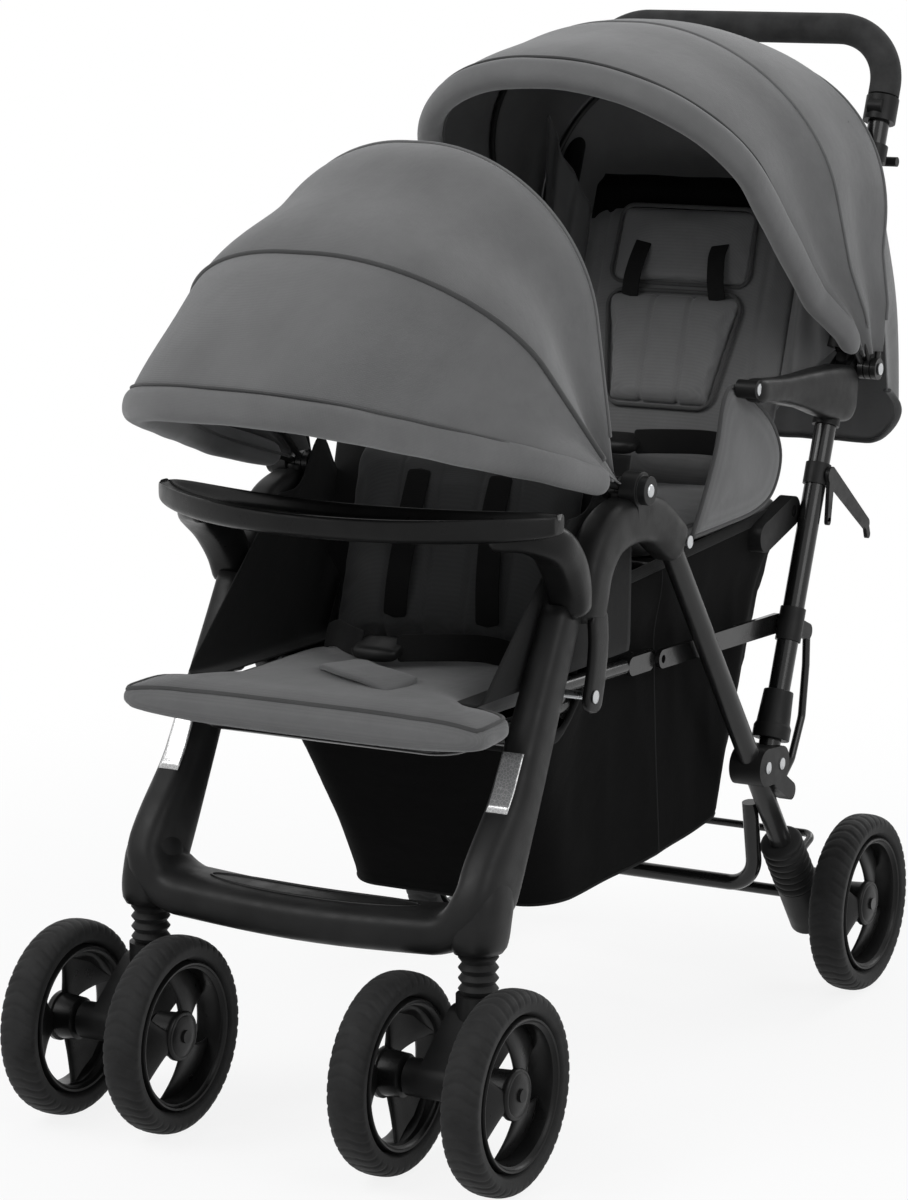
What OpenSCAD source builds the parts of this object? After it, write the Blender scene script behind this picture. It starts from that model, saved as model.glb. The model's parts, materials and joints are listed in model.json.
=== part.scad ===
// Tandem stroller: two seats one behind the other on a folding tube frame.
// Front faces -Y, the rider's left is +X, the floor is Z = 0.

/* [Wheels] */
// Diameter of every wheel
wheel_d = 180; // [150:1:200]
// Width of a tyre
tyre_w = 36; // [28:1:40]
// Height of the tyre above the rim
tyre_h = 22; // [16:1:26]
// Distance from the caster stem to each of its two wheels
twin_offset = 56; // [50:1:62]
// Distance that the front axle sits ahead of the caster stem
caster_lead = 51; // [40:1:60]
// Room between the rear wheels and their spring carriers
rear_wheel_gap = 25; // [15:1:39]
// Radius of the wheel axles
axle_r = 6; // [4:0.5:8]

/* [Frame] */
// Half the distance between the two side frames
side_x = 172; // [168:1:176]
// Distance from the caster stems back to the rear axle
wheel_base = 675; // [650:1:700]
// Radius of the leg and upright tubes
tube_r = 11; // [9:0.5:12]
// How far the uprights and the handle lean back
upright_tilt = 21.8; // [18:0.2:25]
// Distance up the uprights to the handle hinge
hinge_up = 418; // [400:1:440]
// Distance up the uprights to the handle bar
bar_up = 770; // [730:1:800]
// Radius of the handle corners
handle_bend = 62; // [40:1:80]
// Radius of the foam grip
grip_r = 16; // [14:0.5:18]

/* [Canopies] */
// Radius of the bow wire
bow_r = 3; // [2:0.25:3]
// Radius of the padded front rolls
roll_r = 13; // [9:0.5:15]
// Thickness of the canopy fabric
cover_t = 3; // [2:0.5:4]
// Reach of the front canopy's roll from its pivot
front_roll_h = 440; // [420:1:470]
// Reach of the rear canopy's roll from its pivot
rear_roll_h = 470; // [440:1:490]

/* [Seats] */
// Room between the seats and the side links
seat_gap = 3; // [1:0.5:12]
// Thickness of the pads
pad_t = 30; // [22:1:34]
// Height of the rear back pad
rear_back_h = 318; // [280:1:340]
// Height of the front back pad
front_back_h = 230; // [200:1:240]
// Lean of the rear backrest
rear_lean = 20; // [14:1:22]
// Lean of the front backrest
front_lean = 15; // [10:1:18]

/* [Basket] */
// Half width of the basket
basket_half_w = 138; // [120:1:138]
// Height of the basket's floor
basket_floor = 186; // [180:1:200]

/* [Fits] */
// Clearance of a turning pin in its bore
pin_gap = 0.05; // [0.02:0.01:0.1]
// Clearance between pieces that move past each other
run_gap = 0.3; // [0.2:0.05:0.6]

/* [Hidden] */
$fn = 48;
cut = 1;
hull_fn = 24;
wheel_r = wheel_d / 2;
// Places are [y, z] in the side view, y from the caster stems
leg_top = [360, 505];
rear_axle_at = [wheel_base, wheel_r];
front_axle_at = [-caster_lead, wheel_r];
leg_len = norm(rear_axle_at - leg_top);
leg_dir = (rear_axle_at - leg_top) / leg_len;
function leg_at(s) = leg_top + leg_dir * s;
hub_along = 322;
hub_offset = [32, -2];
foot_at = leg_at(hub_along) + hub_offset;
up_dir = [sin(upright_tilt), cos(upright_tilt)];
rear_dir = [cos(upright_tilt), -sin(upright_tilt)];
function up_at(s) = foot_at + up_dir * s;
// The handle hinge stands behind the tubes, and the rear canopy turns on the same bolts
hinge_back = 30;
hinge_at = up_at(hinge_up) + rear_dir * hinge_back;
front_pivot = [263, 567];
bar_at = up_at(bar_up);

// Bow angles are forward of upright
front_roll_angle = 75;
front_mid_angle = 50;
front_bow_angle = 14;
rear_roll_angle = 49;
rear_mid_angle = 26;
rear_bow_angle = -9;
// Each bow is [angle, half width, height, corner radius, narrowing share]
eye_gap = 1;
eye_step = 2 * bow_r + eye_gap;
front_eye_over = 3;
front_eye_x = side_x + front_eye_over;
fit_wall = 3;
fit_r = tube_r + fit_wall;
rear_eye_x = side_x + fit_r + bow_r + run_gap;
front_corners = [95, 155, 152];
// Share by which the front bows narrow towards their tops, from a shoulder upwards
front_narrow_shares = [0.5, 0, 0];
bow_shoulder = 150;
bow_shoulder_bend = 220;
front_mid_h = 350;
front_bow_h = 316;
front_rows = [
    [front_roll_angle, front_eye_x, front_roll_h, front_corners[0], front_narrow_shares[0]],
    [front_mid_angle, front_eye_x - eye_step, front_mid_h, front_corners[1], front_narrow_shares[1]],
    [front_bow_angle, front_eye_x - 2 * eye_step, front_bow_h, front_corners[2], front_narrow_shares[2]]
];
rear_corners = [168, 180, 160];
rear_mid_h = 384;
rear_bow_h = 308;
rear_roll_over = 2;
rear_bow_over = 4;
rear_rows = [
    [rear_roll_angle, side_x + rear_roll_over, rear_roll_h, rear_corners[0], 0],
    [rear_mid_angle, rear_eye_x, rear_mid_h, rear_corners[1], 0],
    [rear_bow_angle, rear_eye_x + rear_bow_over, rear_bow_h, rear_corners[2], 0]
];
front_reach = front_pivot.x - front_roll_h * sin(front_roll_angle) - roll_r;
rear_reach = bar_at.x + grip_r;
mid_y = (front_reach + rear_reach) / 2;

// Tubes, plates and other shared shapes

function unit(v) = v / norm(v);
function in_side(x, p) = [x, p.x, p.y];
function mix(a, b, t) = a + (b - a) * t;
function smooth(t) = t <= 0 ? 0 : t >= 1 ? 1 : t * t * (3 - 2 * t);

module both_sides() {
    children();
    mirror([1, 0, 0]) children();
}

// A straight round bar between two points in space
module rod(a, b, r) {
    v = b - a;
    translate(a) rotate([0, acos(v.z / norm(v)), atan2(v.y, v.x)]) cylinder(h = norm(v), r = r);
}

// A quarter-like bend at corner p, from direction u into direction w
module elbow(p, u, w, r, bend) {
    turn = acos(u * w);
    n = unit(cross(u, w));
    m = cross(n, u);
    c = p - u * bend * tan(turn / 2) + m * bend;
    multmatrix([
        [-m.x, u.x, n.x, c.x],
        [-m.y, u.y, n.y, c.y],
        [-m.z, u.z, n.z, c.z],
        [0, 0, 0, 1]
    ]) rotate_extrude(angle = turn) translate([bend, 0]) circle(r);
}

// A bent tube through points, with one bend radius for each inner point. The straight runs
// reach a little way into the bends, which are a hair thicker.
pipe_lap = 0.5;
pipe_swell = 0.03;
module pipe(pts, r, bends) {
    last = len(pts) - 1;
    dirs = [for (i = [0:last - 1]) unit(pts[i + 1] - pts[i])];
    trim = [
        for (i = [0:last])
            i == 0 || i == last ? 0 : bends[i - 1] * tan(acos(dirs[i - 1] * dirs[i]) / 2)
    ];
    for (i = [0:last - 1])
        rod(
            pts[i] + dirs[i] * (trim[i] - (i == 0 ? 0 : pipe_lap)),
            pts[i + 1] - dirs[i] * (trim[i + 1] - (i == last - 1 ? 0 : pipe_lap)), r
        );
    for (i = [1:last - 1]) elbow(pts[i], dirs[i - 1], dirs[i], r + pipe_swell, bends[i - 1]);
}

// Two discs joined by their common tangents
module bar_outline(p, q, rp, rq) {
    d = q - p;
    a = atan2(d.y, d.x);
    k = acos((rp - rq) / norm(d));
    translate(p) circle(rp);
    translate(q) circle(rq);
    polygon([
        for (e = [[p, rp, k], [q, rq, k], [q, rq, -k], [p, rp, -k]])
            e[0] + e[1] * [cos(a + e[2]), sin(a + e[2])]
    ]);
}

// Extrudes a side view outline from x over a thickness t towards +X
module plate(x, t) {
    translate([x, 0, 0]) rotate([90, 0, 90]) linear_extrude(t) children();
}

// A round pin or boss along X at a side view place
module cross_pin(p, r, x0, x1) {
    translate([x0, p.x, p.y]) rotate([0, 90, 0]) cylinder(h = x1 - x0, r = r);
}

// Places children with their Z axis along a side view direction
module along(p, dir, x) {
    translate([x, p.x, p.y]) rotate([-atan2(dir.x, dir.y), 0, 0]) children();
}

// A ribbed rubber sleeve round the Z axis
module ribbed_boot(h, r_in, r_valley, r_rib, ribs) {
    pitch = h / ribs;
    rotate_extrude() polygon(concat(
        [[r_in, 0]],
        [for (i = [0:ribs - 1], e = [[r_valley, 0], [r_rib, 0.5]]) [e[0], (i + e[1]) * pitch]],
        [[r_valley, h], [r_in, h]]
    ));
}

// Points of a bow: up one side, round a corner, across, and down the other side
corner_steps = 10;
function bow_half(w, h, r, low) = concat(
    [[w, low], [w, (low + h - r) / 2]],
    [
        for (i = [0:corner_steps])
            [w - r + r * cos(90 * i / corner_steps), h - r + r * sin(90 * i / corner_steps)]
    ]
);
function mirrored(half) = concat(half, [for (i = [len(half) - 1:-1:0]) [-half[i].x, half[i].y]]);
function narrowed(p, h, share) =
    [p.x * (1 - share * max(0, (p.y - bow_shoulder) / (h - bow_shoulder))), p.y];
function turned(pivot, angle, p) =
    [p.x, pivot.x - p.y * sin(angle), pivot.y + p.y * cos(angle)];

// A closed sheet between an outer and an inner grid of points
module sheet(outer, inner) {
    rows = len(outer);
    cols = len(outer[0]);
    n = rows * cols;
    function at(i, j, k) = k * n + i * cols + j;
    function quad(a, b, c, d) = [[a, b, c], [a, c, d]];
    faces = concat(
        [
            for (i = [0:rows - 2], j = [0:cols - 2])
                each quad(at(i, j, 0), at(i, j + 1, 0), at(i + 1, j + 1, 0), at(i + 1, j, 0))
        ],
        [
            for (i = [0:rows - 2], j = [0:cols - 2])
                each quad(at(i, j, 1), at(i + 1, j, 1), at(i + 1, j + 1, 1), at(i, j + 1, 1))
        ],
        [
            for (j = [0:cols - 2])
                each concat(
                    quad(at(0, j, 0), at(0, j, 1), at(0, j + 1, 1), at(0, j + 1, 0)),
                    quad(
                        at(rows - 1, j, 0), at(rows - 1, j + 1, 0),
                        at(rows - 1, j + 1, 1), at(rows - 1, j, 1)
                    )
                )
        ],
        [
            for (i = [0:rows - 2])
                each concat(
                    quad(at(i, 0, 0), at(i + 1, 0, 0), at(i + 1, 0, 1), at(i, 0, 1)),
                    quad(
                        at(i, cols - 1, 0), at(i, cols - 1, 1),
                        at(i + 1, cols - 1, 1), at(i + 1, cols - 1, 0)
                    )
                )
        ]
    );
    polyhedron([for (g = [outer, inner], row = g, p = row) p], faces);
}

// A cushion on a grid: round corners, sides drawn in, a crown on top, sewn channels along it
pad_steps = 16;
pad_corner = 34;
pull_share = 0.03;
crown_share = 0.3;
edge_share = 0.42;
channel_share = 0.18;
module cushion(half_w0, half_w1, length, t, channels, step_share) {
    n = pad_steps;
    function span(i) = sin(90 * (2 * i / n - 1));
    function along_at(j) = length * (span(j) + 1) / 2;
    function half_at(y) = let (
        v = y / length,
        e = max(0, pad_corner - y, y - length + pad_corner) / pad_corner
    ) mix(half_w0, half_w1, smooth((v - step_share) * 4)) * (1 - pull_share * 4 * v * (1 - v))
        - pad_corner * (1 - sqrt(1 - e * e));
    side_fall_share = 6;
    end_fall_share = 8;
    fall_root_share = 0.5;
    function rise(u, v) =
        pow((1 - pow(u, side_fall_share)) * (1 - pow(2 * v - 1, end_fall_share)), fall_root_share);
    function groove(u) = max([0, for (c = channels) exp(-pow((u - c) * n / 2, 2))]);
    top = [
        for (j = [0:n]) [
            for (i = [0:n]) let (u = span(i), y = along_at(j), v = y / length) [
                u * half_at(y), y,
                t * (edge_share + rise(u, v) * (1 - edge_share - crown_share * u * u
                    - channel_share * groove(u)))
            ]
        ]
    ];
    bottom = [for (row = top) [for (p = row) [p.x, p.y, 0]]];
    sheet(bottom, top);
}

// Wheels

rim_r = wheel_r - tyre_h;
bead_r = rim_r + pin_gap;
rim_wall = 8;
rim_inset = 3;
rim_w = tyre_w - 2 * rim_inset;
hub_r = 19;
hub_inset = 1;
hub_w = tyre_w - 2 * hub_inset;
cap_r = 16;
cap_h = 6;
cap_edge = 3;
spoke_in_r = 9;
spoke_out_r = 22;
spoke_count = 3;
spoke_t = 12;
shoulder = 9;
tread_gap = 3;
tread_d = 2;
groove_at = 8;
axle_bore = axle_r + pin_gap;

// Cross section of a tyre: a flat tread with round shoulders and two grooves
module tyre_section() {
    difference() {
        union() {
            translate([bead_r, -tyre_w / 2 + shoulder])
                square([wheel_r - bead_r, tyre_w - 2 * shoulder]);
            translate([bead_r, -rim_w / 2]) square([wheel_r - shoulder - bead_r, rim_w]);
            for (s = [-1, 1])
                translate([wheel_r - shoulder, s * (tyre_w / 2 - shoulder)]) circle(shoulder);
        }
        for (s = [-1, 1])
            translate([wheel_r - tread_d, s * groove_at - tread_gap / 2])
                square([tread_d + cut, tread_gap]);
    }
}

module tyre() {
    color("#1b1b1b") rotate([0, 90, 0]) rotate_extrude() tyre_section();
}

// Rim with three wide blades that open towards the ring, and a domed hub cap outside
module rim() {
    color("#232323") rotate([0, 90, 0]) {
        difference() {
            union() {
                difference() {
                    translate([0, 0, -rim_w / 2]) cylinder(h = rim_w, r = rim_r);
                    translate([0, 0, -rim_w / 2 - cut])
                        cylinder(h = rim_w + 2 * cut, r = rim_r - rim_wall);
                }
                translate([0, 0, -hub_w / 2]) cylinder(h = hub_w, r = hub_r);
                for (k = [0:spoke_count - 1])
                    rotate(k * 360 / spoke_count) translate([0, 0, -spoke_t / 2])
                        linear_extrude(spoke_t)
                            bar_outline(
                                [hub_r - spoke_in_r / 2, 0], [rim_r - spoke_out_r, 0],
                                spoke_in_r, spoke_out_r - cut
                            );
            }
            translate([0, 0, -hub_w / 2 - cut]) cylinder(h = hub_w + 2 * cut, r = axle_bore);
        }
        translate([0, 0, hub_w / 2]) rotate_extrude() polygon([
            [0, 0], [cap_r, 0], [cap_r, cap_h - cap_edge], [cap_r - cap_edge, cap_h], [0, cap_h]
        ]);
    }
}

module wheel_at(x, p, flip) {
    translate([x, p.x, p.y]) mirror([flip, 0, 0]) children();
}

// side is 1 for the left caster and -1 for the right, twin is 1 outside and -1 inside
module caster_wheel(side, twin) {
    wheel_at(side * (side_x + twin * twin_offset), front_axle_at, side * twin > 0 ? 0 : 1) {
        tyre();
        rim();
    }
}

module front_wheel_left_outer() caster_wheel(1, 1);
module front_wheel_left_inner() caster_wheel(1, -1);
module front_wheel_right_outer() caster_wheel(-1, 1);
module front_wheel_right_inner() caster_wheel(-1, -1);
module rear_wheel_left()
    wheel_at(rear_half_track, rear_axle_at, 0) {
        tyre();
        rim();
    }
module rear_wheel_right()
    wheel_at(-rear_half_track, rear_axle_at, 1) {
        tyre();
        rim();
    }

// Casters

stem_r = 9;
stem_top = 262;
stem_room = 14;
fork_top = 157;
leg_bottom = 205;
fork_neck_r = 20;
fork_neck_low = 112;
fork_half_w = 24;
fork_arm_r = 22;
fork_boss_r = 17;
fork_boss_half = twin_offset - hub_w / 2 - run_gap;
boot_in = 11;
boot_valley = 14.5;
boot_rib = 18;
boot_ribs = 5;

// The stem slides in the leg and the fork turns on its lower end
module caster_stem(side) {
    color("#8d8f92") translate([side * side_x, 0, 0]) {
        translate([0, 0, fork_neck_low]) cylinder(h = stem_top - fork_neck_low, r = stem_r);
    }
}

module caster_fork(side) {
    color("#202020") translate([side * side_x, 0, 0]) {
        difference() {
            union() {
                translate([0, 0, fork_neck_low]) cylinder(h = fork_top - fork_neck_low, r = fork_neck_r);
                plate(-fork_half_w, 2 * fork_half_w)
                    bar_outline(
                        [0, fork_neck_low + fork_arm_r / 2], front_axle_at, fork_arm_r, fork_boss_r
                    );
                cross_pin(front_axle_at, fork_boss_r, -fork_boss_half, fork_boss_half);
            }
            translate([0, 0, fork_neck_low]) cylinder(h = fork_top, r = stem_r + pin_gap);
            cross_pin(front_axle_at, axle_bore, -fork_boss_half - cut, fork_boss_half + cut);
        }
    }
    color("#b9bbbd")
        translate([side * side_x, 0, 0])
            cross_pin(
                front_axle_at, axle_r, -twin_offset - hub_w / 2, twin_offset + hub_w / 2
            );
}

module caster_stem_left() caster_stem(1);
module caster_stem_right() caster_stem(-1);
module caster_fork_left() caster_fork(1);
module caster_fork_right() caster_fork(-1);

module caster_boots() {
    color("#1d1d1d") both_sides() translate([side_x, 0, fork_top + run_gap])
        ribbed_boot(leg_bottom - fork_top - 2 * run_gap, boot_in, boot_valley, boot_rib, boot_ribs);
}

// Front frame

leg_half_w = 17;
leg_edge = 7;
front_leg_top = [128, 452];
front_leg_low = [6, 231];
front_leg_top_r = 20;
front_leg_low_r = 26;
step_inset = 6;
step_half_x = side_x - step_inset;
step_front = -16;
step_back = 26;
step_z = 214;
step_r = 16;
strip_share = 0.5;
strip_len = 66;
strip_w = 16;
strip_t = 1.2;

// A disc with a round rim, lying in the side view
module round_disc(p, r, half, edge) {
    translate([0, p.x, p.y]) rotate([0, 90, 0]) rotate_extrude($fn = hull_fn) {
        translate([0, -half]) square([r - edge, 2 * half]);
        for (s = [-1, 1]) translate([r - edge, s * (half - edge)]) circle(edge, $fn = hull_fn / 2 + 4);
        translate([0, edge - half]) square([r, 2 * half - 2 * edge]);
    }
}

arch_nose = [138, 476];
arch_nose_r = 24;
arch_crown = [214, 505];
arch_crown_r = 27;
arch_neck = [270, 512];
arch_neck_r = 24;
arch_eye_r = 20;
arch_tab = [184, 440];
arch_tab_r = 16;
link_front_at = [172, 392];
link_tab_r = 13;
arch_in = side_x - tube_r;
arch_wall = 12;
arch_out = side_x + tube_r + arch_wall;
cheek_in = side_x + tube_r + run_gap;
pivot_r = 4;
slot_z = 487;
slot_t = 9;
slot_h = 14;
slot_depth = 22;
knob_r = 17;
knob_half = 8;
post_r = 11;

// Outline of the arch bracket ahead of the rear leg
module arch_front_outline() {
    bar_outline(arch_nose, arch_crown, arch_nose_r, arch_crown_r);
    bar_outline(arch_crown, arch_neck, arch_crown_r, arch_neck_r);
    bar_outline(arch_crown, arch_tab, arch_tab_r, arch_tab_r);
    bar_outline(arch_tab, link_front_at, arch_tab_r, link_tab_r);
}

module slot_block(grow) {
    translate([
        side_x - slot_t / 2 - grow, arch_nose.x - arch_nose_r - cut, slot_z - slot_h / 2 - grow
    ]) cube([slot_t + 2 * grow, slot_depth + cut + grow, slot_h + 2 * grow]);
}

module arch_brackets() {
    color("#2a2a2a") both_sides() difference() {
        union() {
            plate(arch_in, cheek_in - arch_in) arch_front_outline();
            plate(cheek_in, arch_out - cheek_in) {
                arch_front_outline();
                bar_outline(arch_neck, leg_top, arch_neck_r, arch_eye_r);
            }
        }
        cross_pin(leg_top, pivot_r, arch_in - cut, arch_out + cut);
        slot_block(run_gap);
        cross_pin(link_front_at, pivot_r, arch_in - cut, arch_out + cut);
    }
}

// Web that fills the inner corner between a leg and the footrest bar
gusset_r = 52;
gusset_t = 26;
gusset_bite = 1.5;
gusset_steps = 6;
module gusset() {
    run = front_leg_top - front_leg_low;
    inner = side_x - leg_half_w;
    mid = [inner - gusset_r + gusset_bite, step_r + gusset_r - gusset_bite];
    arc = [
        for (k = [gusset_steps : -1 : 0])
            let (a = 90 * k / gusset_steps)
                mid + gusset_r * [sin(a), -cos(a)]
    ];
    translate([0, front_leg_low.x, step_z]) rotate([90 - atan2(run.x, run.y), 0, 0])
        translate([0, 0, -gusset_t / 2]) linear_extrude(gusset_t)
            polygon(concat([[mid.x, 0], [inner + leg_edge, 0], [inner + leg_edge, mid.y]], arc));
}

// Moulded front frame: two legs and the footrest bar in one piece, with bores for the stems
module front_legs() {
    color("#262626") difference() {
        union() {
            both_sides() translate([side_x, 0, 0]) hull() {
                round_disc(front_leg_top, front_leg_top_r, leg_half_w, leg_edge);
                round_disc(front_leg_low, front_leg_low_r, leg_half_w, leg_edge);
            }
            hull() for (x = [-step_half_x, step_half_x], y = [step_front, step_back])
                translate([x, y, step_z]) sphere(step_r, $fn = hull_fn);
            both_sides() gusset();
        }
        both_sides() translate([side_x, 0, 0])
            cylinder(h = stem_top + stem_room, r = stem_r + pin_gap);
        both_sides() plate(arch_in - leg_half_w, 2 * (arch_out - arch_in)) arch_front_outline();
        both_sides() translate([side_x, 0, 0])
            cylinder(h = leg_bottom, r = boot_rib + cut);
    }
    reflectors();
}

// Strips on the front of the legs
module reflectors() {
    leg_run = front_leg_top - front_leg_low;
    lean = [leg_run.x, leg_run.y] / norm(leg_run);
    k = asin((front_leg_low_r - front_leg_top_r) / norm(leg_run));
    a = atan2(lean.x, lean.y);
    mid_at = mix(front_leg_low, front_leg_top, strip_share);
    mid_r = mix(front_leg_low_r, front_leg_top_r, strip_share);
    color("#c9cbcc") both_sides()
        translate([side_x, mid_at.x, mid_at.y]) rotate([-a - k, 0, 0])
            translate([-strip_w / 2, -mid_r - strip_t - pin_gap, -strip_len / 2])
                cube([strip_w, strip_t, strip_len]);
}

// Pins that join the arch brackets to the legs, links and bows
module pivot_rivets() {
    color("#c6c8ca") both_sides() {
        cross_pin(leg_top, pivot_r - pin_gap, side_x, arch_out);
        translate([arch_out, leg_top.x, leg_top.y]) rotate([0, 90, 0]) rivet_head();
        cross_pin(link_front_at, pivot_r - pin_gap, link_x - link_half, arch_out);
        translate([arch_out, link_front_at.x, link_front_at.y]) rotate([0, 90, 0]) rivet_head();
    }
}

rivet_r = 6;
rivet_h = 2;
module rivet_head() {
    rotate_extrude() polygon([
        [0, 0], [rivet_r, 0], [rivet_r, rivet_h / 2], [rivet_r / 2, rivet_h], [0, rivet_h]
    ]);
}

// Knobs that stand on the arch brackets and hold the front canopy's bolts
knob_in = front_eye_x + bow_r + run_gap;
bolt_r = 3;
module canopy_knobs() {
    color("#242424") both_sides() {
        difference() {
            plate(knob_in, arch_out - knob_in) {
                translate(front_pivot) circle(knob_r);
                bar_outline(front_pivot, arch_neck, post_r, post_r);
            }
            plate(arch_in, 2 * (arch_out - arch_in)) {
                arch_front_outline();
                bar_outline(arch_neck, leg_top, arch_neck_r, arch_eye_r);
            }
        }
        cross_pin(front_pivot, knob_r - leg_edge / 2, arch_out, arch_out + knob_half);
        cross_pin(front_pivot, bolt_r, front_eye_x - 2 * eye_step - bow_r - cut, knob_in);
    }
}

// Canopies

jog_low = 66;
jog_high = 118;
jog_bend = 24;
eye_r = 8;

// Path and bends of a bow that narrows above its shoulder
function narrow_half(row, low) =
    [[row[1], low], [row[1], bow_shoulder], [row[1] * (1 - row[4]), row[2]]];
function narrow_bends(row) = [bow_shoulder_bend, row[3], row[3], bow_shoulder_bend];

// A canopy bow with an eye on each end, where row is [angle, half width, height, corner]
module bow(pivot, row, eye_x, eye_bore) {
    w = row[1];
    narrow = row[4] > 0;
    half = narrow ? narrow_half(row, eye_r)
        : eye_x == w ? [[w, eye_r], [w, row[2]]]
        : [[eye_x, eye_r], [eye_x, jog_low], [w, jog_high], [w, row[2]]];
    bends = narrow ? narrow_bends(row)
        : eye_x == w ? [row[3], row[3]]
        : [jog_bend, jog_bend, row[3], row[3], jog_bend, jog_bend];
    pts = [for (p = mirrored(half)) turned(pivot, row[0], p)];
    color("#55585b") difference() {
        union() {
            pipe(pts, bow_r, bends);
            for (s = [-1, 1])
                cross_pin(pivot, eye_r + bow_r, s * eye_x - bow_r, s * eye_x + bow_r);
        }
        cross_pin(pivot, eye_bore, -eye_x - bow_r - cut, eye_x + bow_r + cut);
    }
}

// The padded roll round a front bow
roll_low = 124;
module roll(pivot, row, low) {
    narrow = row[4] > 0;
    half = narrow ? narrow_half(row, low) : [[row[1], low], [row[1], row[2]]];
    bends = narrow ? narrow_bends(row) : [row[3], row[3]];
    pts = [for (p = mirrored(half)) turned(pivot, row[0], p)];
    color("#6b6b6b") difference() {
        pipe(pts, roll_r, bends);
        pipe(pts, bow_r + pin_gap, bends);
    }
}

// Rows of the cover between the bows, with the fabric a little slack between them
cover_rows = 5;
slack = 4;
cover_gap = bow_r + 3 * run_gap;
function row_between(rows, t) = let (
    k = min(floor(t), len(rows) - 2),
    f = t - k,
    a = rows[k],
    b = rows[k + 1],
    sag = slack * 4 * f * (1 - f)
) mix(a, b, f) - [0, sag / 2, sag, 0, 0];

// The cover's front edge follows the back of the roll
module cover(pivot, rows, low) {
    clear = roll_r + run_gap;
    ts = [for (i = [0:2 * cover_rows]) i / cover_rows];
    function layer(off) = [
        for (t = ts) let (r = row_between(rows, t)) [
            for (p = mirrored(bow_half(r[1] + off, r[2] + off, r[3] + off, low)))
                turned(
                    pivot, r[0] - max(0, 1 - t) * asin(clear / p.y), narrowed(p, r[2] + off, r[4])
                )
        ]
    ];
    color("#6b6b6b") sheet(layer(cover_gap + cover_t), layer(cover_gap));
}

cover_low = 120;
front_low = 46;
front_roll_low = 84;
module front_bow() bow(front_pivot, front_rows[2], front_rows[2][1], bolt_r + pin_gap);
module front_mid_bow() bow(front_pivot, front_rows[1], front_rows[1][1], bolt_r + pin_gap);
module front_roll_bow() bow(front_pivot, front_rows[0], front_rows[0][1], bolt_r + pin_gap);
module front_roll() roll(front_pivot, front_rows[0], front_roll_low);
module front_canopy_cover() cover(front_pivot, front_rows, front_low);
module rear_bow() bow(hinge_at, rear_rows[2], rear_eye_x + 2 * eye_step, bolt_r + pin_gap);
module rear_mid_bow() bow(hinge_at, rear_rows[1], rear_eye_x + eye_step, bolt_r + pin_gap);
module rear_roll_bow() bow(hinge_at, rear_rows[0], rear_eye_x, bolt_r + pin_gap);
module rear_roll() roll(hinge_at, rear_rows[0], roll_low);
module rear_canopy_cover() cover(hinge_at, rear_rows, cover_low);

// Fabric that hangs from the rear bow behind the seat, and the curtains outside the handle tubes
flap_half_w = 146;
flap_low = [874, 530];
flap_waves = 3;
flap_wave_h = 6;
flap_steps = 10;
curtain_low = 62;
curtain_high = 176;
curtain_top = [866, 800];
curtain_foot = [888, 604];
function bow_reach(row, x) = abs(x) <= row[1] - row[3] ? row[2]
    : row[2] - row[3] + sqrt(pow(row[3], 2) - pow(abs(x) - row[1] + row[3], 2));
module rear_flap() {
    row = rear_rows[2];
    behind = bow_r + run_gap;
    function flap(off) = [
        for (j = [0:flap_steps]) [
            for (i = [0:2 * flap_steps]) let (
                x = (i / flap_steps - 1) * flap_half_w,
                v = j / flap_steps,
                reach = bow_reach(row, x),
                top = turned(hinge_at, row[0] - asin(behind / reach), [x, reach]),
                low = in_side(x, flap_low)
            ) mix(top, low, v) + [0, off + flap_wave_h * v * cos(180 * flap_waves * x / flap_half_w), 0]
        ]
    ];
    function curtain(off) = [
        for (j = [0:flap_steps]) [
            for (i = [0:flap_steps]) let (
                u = i / flap_steps,
                v = j / flap_steps,
                reach = mix(curtain_high, curtain_low, v),
                edge = turned(hinge_at, row[0] - asin(behind / reach), [0, reach]),
                back = in_side(0, mix(curtain_top, curtain_foot, v))
            ) mix(edge, back, u)
                + [row[1] + cover_gap + off + flap_wave_h * u * v * (1 - cos(180 * flap_waves * u)), 0, 0]
        ]
    ];
    color("#666666") {
        sheet(flap(0), flap(cover_t));
        both_sides() sheet(curtain(cover_t), curtain(0));
    }
}

// Rear frame

leg_bore = 8;
guide_depth = 74;
leg_end_short = 66;
leg_end = leg_len - leg_end_short;
leg_over = 12;
boot_top_short = 84;
boot_top = leg_len - boot_top_short;
boot_low_short = 20;
boot_low = leg_len - boot_low_short;
rear_boot_wall = 2;
rear_boot_in = tube_r + rear_boot_wall;
rear_boot_valley = 18;
rear_boot_rib = 22;
rear_boot_ribs = 6;

module rear_legs() {
    color("#101010") both_sides() difference() {
        rod(in_side(side_x, leg_at(-leg_over)), in_side(side_x, leg_at(leg_end)), tube_r);
        rod(
            in_side(side_x, leg_at(leg_end - guide_depth)), in_side(side_x, leg_at(leg_end + cut)),
            leg_bore
        );
        cross_pin(leg_top, pivot_r, side_x - tube_r - cut, side_x + tube_r + cut);
    }
}

module rear_boots() {
    color("#1d1d1d") both_sides() along(leg_at(boot_top), leg_dir, side_x)
        ribbed_boot(
            boot_low - boot_top, rear_boot_in, rear_boot_valley, rear_boot_rib, rear_boot_ribs
        );
}

carrier_r = 21;
rear_half_track = side_x + carrier_r + rear_wheel_gap + tyre_w / 2;
carrier_top = boot_low + run_gap;
carrier_over = 40;
carrier_low = leg_len + carrier_over;
brake_lug_run = [30, 12];
brake_at = rear_axle_at + brake_lug_run;
brake_lug_r = 9;
brake_r = 4;
boss_r = 15;

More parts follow.
